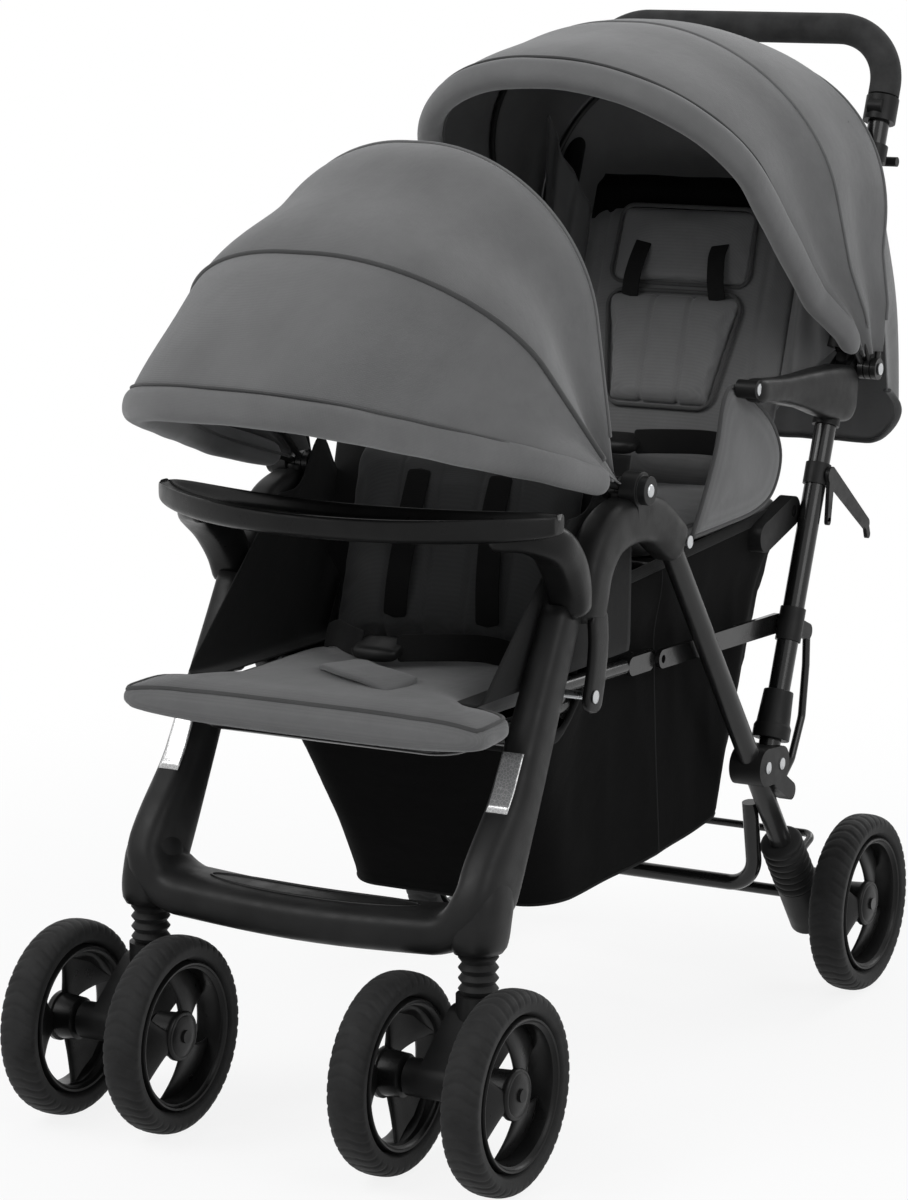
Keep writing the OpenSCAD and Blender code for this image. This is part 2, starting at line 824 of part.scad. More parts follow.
// Spring carriers under the rear legs: guide pin, axle boss and brake lug in one moulding
module rear_carriers() {
    color("#202020") both_sides() difference() {
        union() {
            rod(in_side(side_x, leg_at(carrier_top)), in_side(side_x, leg_at(carrier_low)), carrier_r);
            rod(
                in_side(side_x, leg_at(leg_end - guide_depth / 2)),
                in_side(side_x, leg_at(carrier_top + cut)), leg_bore - pin_gap
            );
            cross_pin(rear_axle_at, boss_r, side_x, rear_half_track - hub_w / 2 - run_gap);
            plate(side_x - carrier_r / 2, carrier_r)
                bar_outline(rear_axle_at, brake_at, boss_r, brake_lug_r);
        }
        cross_pin(rear_axle_at, axle_r, 0, rear_half_track);
        cross_pin(brake_at, brake_r + pin_gap, 0, rear_half_track);
    }
}

module rear_axle() {
    color("#3a3a3a")
        cross_pin(rear_axle_at, axle_r, -rear_half_track - hub_w / 2, rear_half_track + hub_w / 2);
}

brake_bar_run = [101, 37];
brake_bar_at = rear_axle_at + brake_bar_run;
brake_arm_inset = 32;
brake_arm_x = side_x - brake_arm_inset;
brake_bend = 12;
brake_end_x = side_x + carrier_r / 2;

// Linked brake: one bent wire, pivoted in both carriers
module brake_bar() {
    color("#2b2b2b") pipe(
        [
            for (e = [
                [brake_end_x, brake_at], [brake_arm_x, brake_at], [brake_arm_x, brake_bar_at],
                [-brake_arm_x, brake_bar_at], [-brake_arm_x, brake_at], [-brake_end_x, brake_at]
            ]) in_side(e[0], e[1])
        ],
        brake_r, [for (i = [0:3]) brake_bend]
    );
}

crossbar_r = 8;
crossbar_along = 380;
crossbar_low = [606, 112];
crossbar_x = side_x - tube_r - crossbar_r;
crossbar_bend = 30;
module rear_crossbar() {
    color("#111111") pipe(
        [
            in_side(crossbar_x, leg_at(crossbar_along)), in_side(crossbar_x, crossbar_low),
            in_side(-crossbar_x, crossbar_low), in_side(-crossbar_x, leg_at(crossbar_along))
        ],
        crossbar_r, [crossbar_bend, crossbar_bend]
    );
}

// Hub sockets that hold the uprights' feet on the rear legs, with a lug for the lock lever
hub_leg_r = 19;
hub_up_r = 18;
hub_half = 17;
lug_run = [25, -33];
lug_at = foot_at + lug_run;
lug_r = 9;
up_low = -8;
hinge_short = 9;
up_top = hinge_up - hinge_short;
module hub_sockets() {
    color("#252525") both_sides() difference() {
        plate(side_x - hub_half, 2 * hub_half) {
            bar_outline(leg_at(hub_along), foot_at, hub_leg_r, hub_up_r);
            bar_outline(leg_at(hub_along), lug_at, lug_r, lug_r);
        }
        rod(in_side(side_x, leg_at(0)), in_side(side_x, leg_at(leg_end)), tube_r);
        rod(in_side(side_x, up_at(up_low)), in_side(side_x, up_at(up_top)), tube_r);
        translate([lever_x - lever_r - run_gap, lug_at.x - lug_r * 2, lug_at.y - lug_r * 2])
            cube([2 * (lever_r + run_gap), 4 * lug_r, 3 * lug_r]);
        cross_pin(lug_at, lever_pin_r, 0, 2 * side_x);
    }
    color("#c6c8ca") both_sides()
        cross_pin(lug_at, lever_pin_r, side_x - hub_half, side_x + hub_half);
}

module uprights() {
    color("#0f0f0f") both_sides()
        rod(in_side(side_x, up_at(up_low)), in_side(side_x, up_at(up_top)), tube_r);
}

// Clamps on the uprights for the links, the lever rods and the storage hook
clamp_r = 13;
clamp_low = 124;
clamp_h = 34;
link_inset = 26;
link_x = side_x - link_inset;
link_half = 7;
seat_half_w = link_x - link_half - seat_gap;
flat_t = 5;
link_rear_along = 141;
link_rear_at = up_at(link_rear_along);
block_reach = 30;
block_r = 8;
hook_along = 297;
hook_clamp_h = 22;
hook_at = up_at(hook_along);
hook_x = side_x + clamp_r + run_gap;
hook_t = 4;
module upright_clamps() {
    color("#222222") {
        both_sides() difference() {
            union() {
                along(up_at(clamp_low), up_dir, side_x) cylinder(h = clamp_h, r = clamp_r);
                plate(side_x - block_r, 2 * block_r)
                    bar_outline(
                        up_at(link_rear_along), up_at(link_rear_along) + rear_dir * block_reach,
                        block_r, block_r
                    );
                cross_pin(
                    link_rear_at, pivot_r - pin_gap, link_x + link_half, side_x - tube_r
                );
            }
            rod(in_side(side_x, up_at(up_low)), in_side(side_x, up_at(up_top)), tube_r);
        }
        difference() {
            union() {
                along(hook_at - up_dir * hook_clamp_h / 2, up_dir, side_x)
                    cylinder(h = hook_clamp_h, r = clamp_r);
                cross_pin(hook_at, pivot_r - pin_gap, side_x, hook_x + hook_t);
            }
            rod(in_side(side_x, up_at(up_low)), in_side(side_x, up_at(up_top)), tube_r);
        }
    }
}

// Storage hook on the left upright
hook_root_r = 9;
hook_arm_run = [90, -62];
hook_arm_end = hook_at + hook_arm_run;
hook_arm_r = 6;
hook_tip_run = [4, -12];
hook_tip = hook_arm_end + hook_tip_run;
hook_tip_r = 4;
hook_stop_run = [-6, -46];
hook_stop = hook_at + hook_stop_run;
hook_stop_r = 4;
module storage_hook() {
    color("#1c1c1c") difference() {
        plate(hook_x, hook_t) {
            bar_outline(hook_at, hook_arm_end, hook_root_r, hook_arm_r);
            bar_outline(hook_arm_end, hook_tip, hook_tip_r, hook_tip_r);
            bar_outline(hook_at, hook_stop, hook_arm_r, hook_stop_r);
        }
        cross_pin(hook_at, pivot_r, hook_x - cut, hook_x + hook_t + cut);
    }
}

// Lock sleeves that slide up the uprights, and the bent rods beside them
sleeve_low = 23;
sleeve_h = 50;
sleeve_r = 17;
sleeve_rib = 2;
sleeve_bore = tube_r + 2 * pin_gap;
module lock_sleeves() {
    color("#232323") both_sides() along(up_at(sleeve_low), up_dir, side_x) difference() {
        rotate_extrude() polygon([
            [sleeve_bore, 0], [sleeve_r + sleeve_rib, 0], [sleeve_r + sleeve_rib, sleeve_h / 4],
            [sleeve_r, sleeve_h / 3], [sleeve_r - sleeve_rib, sleeve_h], [sleeve_bore, sleeve_h]
        ]);
    }
}

lever_x = side_x;
lever_r = 4;
lever_pin_r = 3;
lever_bend = 16;
lever_knees = [[34, 24], [58, 64], [66, 116]];
lever_path = [
    lug_at, for (k = lever_knees) lug_at + k,
    up_at(link_rear_along) + rear_dir * (block_reach + block_r + run_gap + lever_r)
];
module lock_levers() {
    color("#1e1e1e") both_sides() difference() {
        union() {
            pipe([for (p = lever_path) in_side(lever_x, p)], lever_r, [for (i = [0:2]) lever_bend]);
            cross_pin(lug_at, lug_r - run_gap, lever_x - lever_r, lever_x + lever_r);
        }
        cross_pin(lug_at, lever_pin_r + pin_gap, lever_x - 2 * lever_r, lever_x + 2 * lever_r);
    }
}

// Armrest fittings: a sleeve on the upright, the arm, and the lower half of the handle hinge
fit_len = 61;
fit_top = up_top;
fit_low = fit_top - fit_len;
arm_run = [-236, 4];
arm_tip = hinge_at + arm_run;
arm_drop = 42;
arm_root = up_at(hinge_up - arm_drop);
arm_tip_r = 9;
arm_root_r = 14;
arm_half = 11;
knuckle_r = 14;
knuckle_half = 6;
knuckle_reach = 34;
cheek_t = 5;
bolt_end_x = rear_eye_x + 2 * eye_step + bow_r + cut;
module armrests() {
    color("#262626") both_sides() {
        difference() {
            union() {
                along(up_at(fit_low), up_dir, side_x) cylinder(h = fit_top - fit_low, r = fit_r);
                plate(side_x - arm_half, 2 * arm_half)
                    bar_outline(arm_root, arm_tip, arm_root_r, arm_tip_r);
                for (x = [side_x - knuckle_half - run_gap - cheek_t, side_x + knuckle_half + run_gap])
                    plate(x, cheek_t)
                        bar_outline(up_at(hinge_up - knuckle_reach), hinge_at, knuckle_r, knuckle_r);
            }
            rod(in_side(side_x, up_at(up_low)), in_side(side_x, up_at(up_top + cut)), tube_r);
        }
        cross_pin(hinge_at, bolt_r, side_x - tube_r, bolt_end_x);
    }
}

// Handle

handle_gap = 10;
handle_low = hinge_up + handle_gap;
collar_drop = 100;
collar_low = bar_up - collar_drop;
collar_h = 26;
collar_r = 17;
grip_drop = 72;
grip_low = bar_up - grip_drop;
knuckle_len = 44;
peg_ring_h = 18;
peg_along = 636;
peg_reach = 24;
peg_r = 5;
module handle_tubes() {
    color("#141414") {
        pipe(
            [
                in_side(side_x, up_at(handle_low)), in_side(side_x, bar_at),
                in_side(-side_x, bar_at), in_side(-side_x, up_at(handle_low))
            ],
            tube_r, [handle_bend, handle_bend]
        );
    }
}

// Upper halves of the handle hinge, and the peg that the storage hook catches
module hinge_knuckles() {
    color("#242424") {
        both_sides() difference() {
            union() {
                along(up_at(handle_low), up_dir, side_x) cylinder(h = knuckle_len, r = fit_r);
                plate(side_x - knuckle_half, 2 * knuckle_half)
                    bar_outline(up_at(hinge_up + knuckle_reach), hinge_at, knuckle_r, knuckle_r);
            }
            rod(in_side(side_x, up_at(up_top)), in_side(side_x, up_at(bar_up)), tube_r);
            cross_pin(hinge_at, bolt_r + pin_gap, side_x - tube_r, side_x + tube_r);
        }
        difference() {
            union() {
                along(up_at(peg_along - peg_ring_h / 2), up_dir, side_x)
                    cylinder(h = peg_ring_h, r = fit_r);
                plate(side_x - peg_r, 2 * peg_r)
                    bar_outline(up_at(peg_along), up_at(peg_along) + rear_dir * peg_reach, peg_r, peg_r);
                cross_pin(up_at(peg_along) + rear_dir * peg_reach, peg_r, side_x, hook_x + hook_t);
            }
            rod(in_side(side_x, up_at(up_top)), in_side(side_x, up_at(bar_up)), tube_r);
        }
    }
}

module handle_grip() {
    path = [
        in_side(side_x, up_at(grip_low)), in_side(side_x, bar_at),
        in_side(-side_x, bar_at), in_side(-side_x, up_at(grip_low))
    ];
    color("#3a3a3a") difference() {
        pipe(path, grip_r, [handle_bend, handle_bend]);
        pipe(path, tube_r, [handle_bend, handle_bend]);
    }
}

// Release collars below the grip, each with a thumb tab in front
tab_reach = 12;
tab_r = 8;
module release_collars() {
    color("#202020") both_sides() difference() {
        union() {
            along(up_at(collar_low), up_dir, side_x) cylinder(h = collar_h, r = collar_r);
            plate(side_x - tab_r, 2 * tab_r)
                bar_outline(
                    up_at(collar_low + collar_h / 2),
                    up_at(collar_low + collar_h / 2) - rear_dir * tab_reach, collar_h / 3, tab_r
                );
        }
        rod(
            in_side(side_x, up_at(handle_low)), in_side(side_x, up_at(grip_low)),
            tube_r + 2 * pin_gap
        );
    }
}

// Side links, each in two halves with a knee

knee_at = [382, 386];
link_eye_r = 10;
knee_r = 9;
knee_t = 6;
flat_eye_r = 10;
sleeve_run = 34;
module link_front() {
    run = unit(knee_at - link_front_at);
    color("#1a1a1a") both_sides() difference() {
        union() {
            rod(
                in_side(link_x, link_front_at + run * (link_eye_r / 2)),
                in_side(link_x, knee_at - run * knee_r * 2), link_half
            );
            cross_pin(link_front_at, link_eye_r, link_x - link_half, arch_in - run_gap);
            plate(link_x - link_half, 2 * link_half)
                bar_outline(
                    knee_at - run * (knee_r * 2 + sleeve_run), knee_at - run * knee_r * 2, knee_r, knee_r
                );
            plate(link_x - link_half, knee_t)
                bar_outline(knee_at - run * knee_r * 2, knee_at, knee_r, knee_r);
        }
        cross_pin(link_front_at, pivot_r, link_x - 2 * link_half, arch_in);
        cross_pin(knee_at, pivot_r, link_x - 2 * link_half, link_x + 2 * link_half);
    }
}

// The flat rear half lies beside the front half, so that the knee can open
module link_rear() {
    color("#9a9c9e") both_sides() difference() {
        plate(link_x + link_half + run_gap, flat_t) bar_outline(knee_at, link_rear_at, knee_r, flat_eye_r);
        cross_pin(link_rear_at, pivot_r, link_x, side_x);
        cross_pin(knee_at, pivot_r, link_x, side_x);
    }
}

// Tray: a dished crescent with a raised rim, on two arms that plug into the arch brackets

tray_over = 30;
tray_half = side_x + tray_over;
tray_front = -14;
tray_back = 92;
tray_z = 548;
tray_h = 22;
tray_wall = 4;
tray_corner = 46;
tray_bulge = 300;
tray_fn = 96;
arm_top = [92, 556];
arm_low = [112, 500];
tray_arm_r = 13;
tray_arm_inset = 9;
tray_arm_x = side_x - tray_arm_inset;
tray_arm_w = 26;

// Plan of the tray: a disc section in front, a scoop for the child behind
module tray_plan(inset) {
    difference() {
        intersection() {
            translate([-tray_half + inset, tray_front + inset])
                square([2 * (tray_half - inset), tray_back - tray_front - 2 * inset]);
            translate([0, tray_front + tray_bulge]) circle(tray_bulge - inset, $fn = tray_fn);
        }
        translate([0, tray_back + tray_bulge - tray_corner]) circle(tray_bulge + inset, $fn = tray_fn);
    }
}

module tray() {
    color("#1c1c1c") {
        difference() {
            union() {
                translate([0, 0, tray_z]) linear_extrude(tray_h) tray_plan(0);
                both_sides() plate(tray_arm_x, tray_arm_w) {
                    bar_outline(arm_top, arm_low, tray_arm_r, tray_arm_r);
                }
                both_sides() slot_block(0);
            }
            translate([0, 0, tray_z + tray_wall]) linear_extrude(tray_h) tray_plan(tray_wall);
            both_sides() plate(arch_in - cut, 2 * (arch_out - arch_in)) {
                translate(arch_nose) circle(arch_nose_r + run_gap);
            }
        }
        both_sides() intersection() {
            slot_block(0);
            plate(arch_in - cut, 2 * (arch_out - arch_in)) translate(arch_nose) circle(arch_nose_r);
        }
    }
}

// Seats

seat_tube_r = 8;
front_pan_z = 366;
front_pan_front = 24;
front_hinge = [236, 366];
front_seat_x = link_x - link_half - run_gap - seat_tube_r;
seat_bend = 26;
hinge_r = 6;
eye_plate_t = 10;
eye_plate_r = 11;
front_leg_at_seat = 84;

// Tube under the front seat, pinned to the front legs, with eyes for the backrest
module front_seat_frame() {
    color("#181818") {
        difference() {
            union() {
                pipe(
                    [
                        [front_seat_x, front_hinge.x, front_pan_z],
                        [front_seat_x, front_pan_front, front_pan_z],
                        [-front_seat_x, front_pan_front, front_pan_z],
                        [-front_seat_x, front_hinge.x, front_pan_z]
                    ],
                    seat_tube_r, [seat_bend, seat_bend]
                );
                both_sides() plate(front_seat_x - eye_plate_t / 2, eye_plate_t)
                    bar_outline(
                        [front_hinge.x - eye_plate_r, front_pan_z], front_hinge, eye_plate_r, eye_plate_r
                    );
                both_sides()
                    cross_pin(
                        [front_leg_at_seat, front_pan_z], seat_tube_r - cut,
                        front_seat_x, side_x - leg_half_w
                    );
            }
            cross_pin(front_hinge, hinge_r + pin_gap, -side_x, side_x);
        }
    }
}

lip_over = 16;
lip_half_w = side_x + lip_over;
pad_side = 6;
back_side = 8;
back_taper_share = 1 / 6;
// Channels sewn into the pads, as shares of the half width
front_seat_shares = [-0.5, 0.5];
front_back_shares = [-0.4, 0.4];
rear_seat_shares = [-0.45, 0.45];
rear_back_shares = [-0.5, -0.17, 0.17, 0.5];
mid_share = 0.5;
front_pad_front = -28;
front_pad_back = 218;
front_step_share = 0.24;
module front_seat_pad() {
    color("#6b6b6b") translate([0, front_pad_front, front_pan_z + seat_tube_r + run_gap])
        cushion(
            lip_half_w, seat_half_w - pad_side, front_pad_back - front_pad_front, pad_t,
            front_seat_shares, front_step_share
        );
}

back_inset = 40;
// A backrest tube with its hinge rod, leaning at an angle about the hinge
module back_frame(hinge, lean, h, half_w, rod_half) {
    top_x = half_w - back_inset;
    translate([0, hinge.x, hinge.y]) rotate([-lean, 0, 0]) {
        pipe(
            [[top_x, 0, 0], [top_x, 0, h], [-top_x, 0, h], [-top_x, 0, 0]],
            hinge_r, [seat_bend, seat_bend]
        );
        rod([-rod_half, 0, 0], [rod_half, 0, 0], hinge_r);
    }
}

module back_pad(hinge, lean, h, half_w, low, channels) {
    translate([0, hinge.x, hinge.y]) rotate([-lean, 0, 0])
        translate([0, -hinge_r - run_gap, low]) rotate([90, 0, 0])
            cushion(
                half_w, half_w - back_inset * back_taper_share, h - low + hinge_r, pad_t, channels,
                mid_share
            );
}

back_low = 34;
module front_back_frame() {
    color("#181818")
        back_frame(front_hinge, front_lean, front_back_h, seat_half_w, front_seat_x + eye_plate_t / 2);
}
module front_back_pad() {
    color("#686868")
        back_pad(
            front_hinge, front_lean, front_back_h, seat_half_w - back_side, back_low, front_back_shares
        );
}

rear_hinge = [668, 488];
rear_pan_z = 468;
rear_pan_front = 408;
rear_seat_inset = 24;
rear_seat_x = side_x - tube_r - rear_seat_inset;
bracket_in = rear_seat_x + seat_tube_r;
bracket_out = side_x - tube_r;
bracket_front = [604, 470];
bracket_r = 15;
module seat_brackets() {
    color("#202020") both_sides() difference() {
        plate(bracket_in, bracket_out - bracket_in) {
            bar_outline(rear_hinge, bracket_front, bracket_r, bracket_r);
        }
        cross_pin(rear_hinge, hinge_r + pin_gap, 0, side_x);
        rod(in_side(side_x, up_at(up_low)), in_side(side_x, up_at(up_top)), tube_r);
    }
}

rear_pan_back = 640;
module rear_seat_frame() {
    color("#181818") pipe(
        [
            [rear_seat_x, rear_pan_back, rear_pan_z], [rear_seat_x, rear_pan_front, rear_pan_z],
            [-rear_seat_x, rear_pan_front, rear_pan_z], [-rear_seat_x, rear_pan_back, rear_pan_z]
        ],
        seat_tube_r, [seat_bend, seat_bend]
    );
}

rear_pad_front = 392;
rear_pad_back = 640;
module rear_seat_pad() {
    color("#6b6b6b") translate([0, rear_pad_front, rear_pan_z + seat_tube_r + run_gap])
        cushion(
            seat_half_w + pad_side, seat_half_w + pad_side, rear_pad_back - rear_pad_front, pad_t,
            rear_seat_shares, mid_share
        );
}

module rear_back_frame() {
    color("#181818")
        back_frame(rear_hinge, rear_lean, rear_back_h, seat_half_w, bracket_out - run_gap);
}
module rear_back_pad() {
    color("#707070") back_pad(
        rear_hinge, rear_lean, rear_back_h, seat_half_w - pad_side, back_low, rear_back_shares
    );
}

// Soft side panels from the armrests down to the rear seat
wing_t = 7;
wing_x = side_x - tube_r - wing_t - run_gap;
wing_top = [556, 592];
wing_mid = [486, 548];
wing_low = [452, 514];
wing_rear = [628, 566];
wing_top_r = 27;
wing_mid_r = 40;
wing_low_r = 20;
module side_wings() {
    color("#6b6b6b") both_sides() plate(wing_x, wing_t) {
        bar_outline(wing_top, wing_mid, wing_top_r, wing_mid_r);
        bar_outline(wing_mid, wing_low, wing_mid_r, wing_low_r);
        bar_outline(wing_top, wing_rear, wing_top_r, wing_mid_r);
        bar_outline(wing_mid, wing_rear, wing_mid_r, wing_mid_r);
    }
}

// Harnesses: a buckle on a crotch strap for each seat

buckle_half = 24;
buckle_h = 34;
buckle_t = 12;
crotch_half = 15;
crotch_t = 2;
module harness(y, z) {
    color("#141414") {
        translate([-crotch_half, y, z]) cube([2 * crotch_half, crotch_t, buckle_h]);
        translate([0, y + crotch_t, z + buckle_h]) rotate([90, 0, 0]) linear_extrude(buckle_t)
            bar_outline([-buckle_half / 2, 0], [buckle_half / 2, 0], buckle_h / 2, buckle_h / 2);
    }
}
front_buckle_y = 118;
rear_buckle_y = 540;
module front_harness() harness(front_buckle_y, front_pan_z + seat_tube_r + pad_t + 2 * run_gap);
module rear_harness() harness(rear_buckle_y, rear_pan_z + seat_tube_r + pad_t + 2 * run_gap);

// Basket: an open fabric tub under both seats

basket_front_low = [225, 0];
basket_rear_low = [585, 28];
basket_front_top = [160, 155];
basket_rear_top = [682, 190];
basket_corner = 16;
basket_wall = 4;
// Loops that hang the basket on the front seat's tube
loop_ys = [150, 178];
loop_w = 24;
loop_low = 330;
module tub(half_w, inset, lift, over) {
    r = basket_corner - inset;
    hull() for (s = [-1, 1]) {
        for (p = [basket_front_low, basket_rear_low])
            translate([
                s * (half_w - basket_corner), p.x, basket_floor + p.y + basket_corner + lift
            ]) sphere(r, $fn = hull_fn);
        for (p = [basket_front_top, basket_rear_top])
            translate([s * (half_w - basket_corner), p.x, basket_floor + p.y + over])
                rotate([atan2(basket_rear_top.y - basket_front_top.y,
                    basket_rear_top.x - basket_front_top.x), 0, 0])
                    translate([0, 0, -cut]) cylinder(h = cut, r = r, $fn = hull_fn);
    }
}
module basket() {
    color("#161616") difference() {
        tub(basket_half_w, 0, 0, 0);
        tub(basket_half_w, basket_wall, basket_wall / 2, 2 * cut);
    }
    color("#161616") both_sides() for (y = loop_ys)
        translate([basket_half_w - basket_wall, y, loop_low])
            cube([basket_wall - run_gap, loop_w, front_pan_z - seat_tube_r - run_gap - loop_low]);
}

// Silver rivets on the armrests, hubs and brackets
module frame_rivets() {
    color("#c6c8ca") both_sides() {
        for (p = [arm_tip]) translate([side_x + arm_half, p.x, p.y]) rotate([0, 90, 0]) rivet_head();
        for (p = [leg_at(hub_along), foot_at])
            translate([side_x + hub_half, p.x, p.y]) rotate([0, 90, 0]) rivet_head();
        translate([bolt_end_x, hinge_at.x, hinge_at.y]) rotate([0, 90, 0]) rivet_head();
    }
}

module placed() translate([0, -mid_y, 0]) children();

placed() rear_legs();
placed() rear_crossbar();
placed() hub_sockets();
placed() uprights();
placed() upright_clamps();
placed() armrests();
placed() seat_brackets();
placed() rear_seat_frame();
placed() rear_seat_pad();
placed() side_wings();
placed() frame_rivets();
placed() basket();
placed() rear_bow();
placed() rear_canopy_cover();
placed() rear_flap();
placed() rear_harness();
placed() lock_sleeves();
placed() lock_levers();
placed() storage_hook();
placed() handle_tubes();
placed() handle_grip();
placed() hinge_knuckles();
placed() release_collars();
placed() rear_back_frame();
placed() rear_back_pad();
placed() rear_roll_bow();
placed() rear_roll();
placed() rear_mid_bow();
placed() rear_axle();
placed() rear_carriers();
placed() rear_boots();
placed() brake_bar();
placed() rear_wheel_left();
placed() rear_wheel_right();
placed() arch_brackets();
placed() front_legs();
placed() pivot_rivets();
placed() canopy_knobs();
placed() front_seat_frame();
placed() front_seat_pad();
placed() front_back_frame();
placed() front_back_pad();
placed() front_harness();
placed() front_bow();
placed() front_canopy_cover();
placed() front_roll_bow();
placed() front_roll();
placed() front_mid_bow();
placed() tray();
placed() link_front();
placed() link_rear();
placed() caster_stem_left();
placed() caster_stem_right();
placed() caster_boots();
placed() caster_fork_left();
placed() caster_fork_right();
placed() front_wheel_left_outer();
placed() front_wheel_left_inner();
placed() front_wheel_right_outer();
placed() front_wheel_right_inner();
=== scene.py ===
# %% [markdown]
# # A tandem stroller, dressed piece by piece
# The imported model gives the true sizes, the moving bodies and their joints. This lesson keeps that
# frame as it is and builds the looks round it: tyres with tread, rounded mouldings, woven covers,
# stuffed pads and webbing. Every piece is a surface worked out with numpy on a grid of two
# parameters, or a profile carried along a path.

# %% Load the frame
import json
import math

import bmesh
import bpy
import numpy as np
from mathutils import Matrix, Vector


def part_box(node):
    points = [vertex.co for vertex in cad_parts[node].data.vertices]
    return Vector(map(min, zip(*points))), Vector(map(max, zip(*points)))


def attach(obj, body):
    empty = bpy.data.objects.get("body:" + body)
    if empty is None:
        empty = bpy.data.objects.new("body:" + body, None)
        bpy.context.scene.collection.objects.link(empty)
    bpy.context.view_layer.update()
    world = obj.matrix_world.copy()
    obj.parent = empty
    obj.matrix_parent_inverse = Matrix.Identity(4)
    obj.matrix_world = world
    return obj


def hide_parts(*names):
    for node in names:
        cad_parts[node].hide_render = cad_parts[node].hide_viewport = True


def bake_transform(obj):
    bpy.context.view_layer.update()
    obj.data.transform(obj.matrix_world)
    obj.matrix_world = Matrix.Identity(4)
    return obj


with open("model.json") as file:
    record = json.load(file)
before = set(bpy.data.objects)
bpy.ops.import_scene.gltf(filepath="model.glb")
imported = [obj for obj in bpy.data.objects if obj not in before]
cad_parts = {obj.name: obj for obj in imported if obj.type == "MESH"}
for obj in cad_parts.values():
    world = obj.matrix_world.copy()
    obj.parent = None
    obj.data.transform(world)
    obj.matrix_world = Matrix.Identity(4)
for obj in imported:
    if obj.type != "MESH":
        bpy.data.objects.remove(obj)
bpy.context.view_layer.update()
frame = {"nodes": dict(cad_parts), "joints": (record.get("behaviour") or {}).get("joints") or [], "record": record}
joints = {j["name"]: j for j in frame["joints"]}
scene = bpy.context.scene

# %% [markdown]
# ## Places and sizes
# The side view of a stroller is drawn from the caster stems backwards and from the floor upwards,
# in millimetres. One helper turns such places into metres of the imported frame, so that the numbers
# below can be read on a ruler.

# %% Places
STEM_Y = joints["swivel_left"]["pos_m"][1]
SIDE_X = 172.0  # middle plane of a side frame
SIDES = (-1, 1)  # right, left


def place(x, y, z):
    """Millimetres across, behind the caster stems and above the floor, as points in metres."""
    x, y, z = np.broadcast_arrays(*(np.asarray(v, float) for v in (x, y, z)))
    return np.stack([x / 1000, STEM_Y + y / 1000, z / 1000], -1)


def joint_side(name):
    """A joint's axis in the side view, as (behind the stems, above the floor) in millimetres."""
    p = joints[name]["pos_m"]
    return np.array([(p[1] - STEM_Y) * 1000, p[2] * 1000])


print("caster stems at y =", round(STEM_Y, 4))

# %% [markdown]
# ## Camera, light and floor
# The photograph was taken from the front left corner with a long lens. The camera stands about
# three and a half metres away and looks a little down. A pale floor and wide soft lamps keep the
# dark cloth readable without bright spots.

# %% Camera
# Solved from the photograph, in its pixels and in degrees
FOCAL, FRAME_HEIGHT, CENTRE_SHIFT = 3818, 1200, -1.1
LOOK_DOWN, HEADING = 10.583, 29.693
CAMERA_AT = (1744.6, -2799.0, 1107.1)
camera = bpy.data.objects.new("camera", bpy.data.cameras.new("camera"))
scene.collection.objects.link(camera)
camera.location = place(*CAMERA_AT)
camera.rotation_euler = (math.radians(90 - LOOK_DOWN), 0, math.radians(HEADING))
camera.data.sensor_fit = "VERTICAL"
camera.data.sensor_height = 36
camera.data.lens = camera.data.sensor_height * FOCAL / FRAME_HEIGHT
camera.data.shift_x = camera.data.shift_y = CENTRE_SHIFT / FRAME_HEIGHT
camera.data.clip_end = 50
scene.camera = camera
scene.view_settings.view_transform = "Standard"
print("camera at", [round(c, 3) for c in camera.location])


# %% Lamps and world
STROLLER_MIDDLE = np.array([0, 0, 0.5])


def lamp(name, x, y, z, size, watts):
    """A square soft lamp that looks at the middle of the stroller."""
    light = bpy.data.lights.new(name, "AREA")
    light.size, light.energy = size, watts
    body = bpy.data.objects.new(name, light)
    scene.collection.objects.link(body)
    body.location = (x, y, z)
    aim = STROLLER_MIDDLE - np.array([x, y, z])
    body.rotation_euler = (
        math.acos(-aim[2] / np.linalg.norm(aim)), 0, math.atan2(aim[1], aim[0]) - math.pi / 2
    )


class Tree:
    """A node tree, and the steps that the backdrop and the finishes share."""

    def __init__(self, owner):
        owner.use_nodes = True
        self.nodes, self.link = owner.node_tree.nodes, owner.node_tree.links.new

    def node(self, kind, values, **options):
        """A new node's outputs. Values fill its inputs: numbers, colours or linked sockets."""
        made = self.nodes.new("ShaderNode" + kind)
        for key, value in options.items():
            setattr(made, key, value)
        for key, value in values.items():
            if isinstance(value, bpy.types.NodeSocket):
                self.link(value, made.inputs[key])
            else:
                made.inputs[key].default_value = value
        return made.outputs

    def math(self, operation, a, b):
        """One arithmetic step on two factors, where b may be a plain number."""
        return self.node("Math", {0: a, 1: b}, operation=operation)[0]

    def seen_rays(self):
        """1 for rays that show the backdrop: from the camera, by a mirror or through glass."""
        ray = self.node("LightPath", {})
        mirror = self.math("MAXIMUM", ray["Is Camera Ray"], ray["Is Glossy Ray"])
        return self.math("MAXIMUM", mirror, ray["Is Transmission Ray"])

    def finish_with(self, factor, plain, seen, output):
        """Ends the tree in a mix: plain where the factor is 0 and seen where it is 1."""
        mixed = self.node("MixShader", {0: factor, 1: plain, 2: seen})[0]
        self.link(mixed, self.nodes[output].inputs["Surface"])


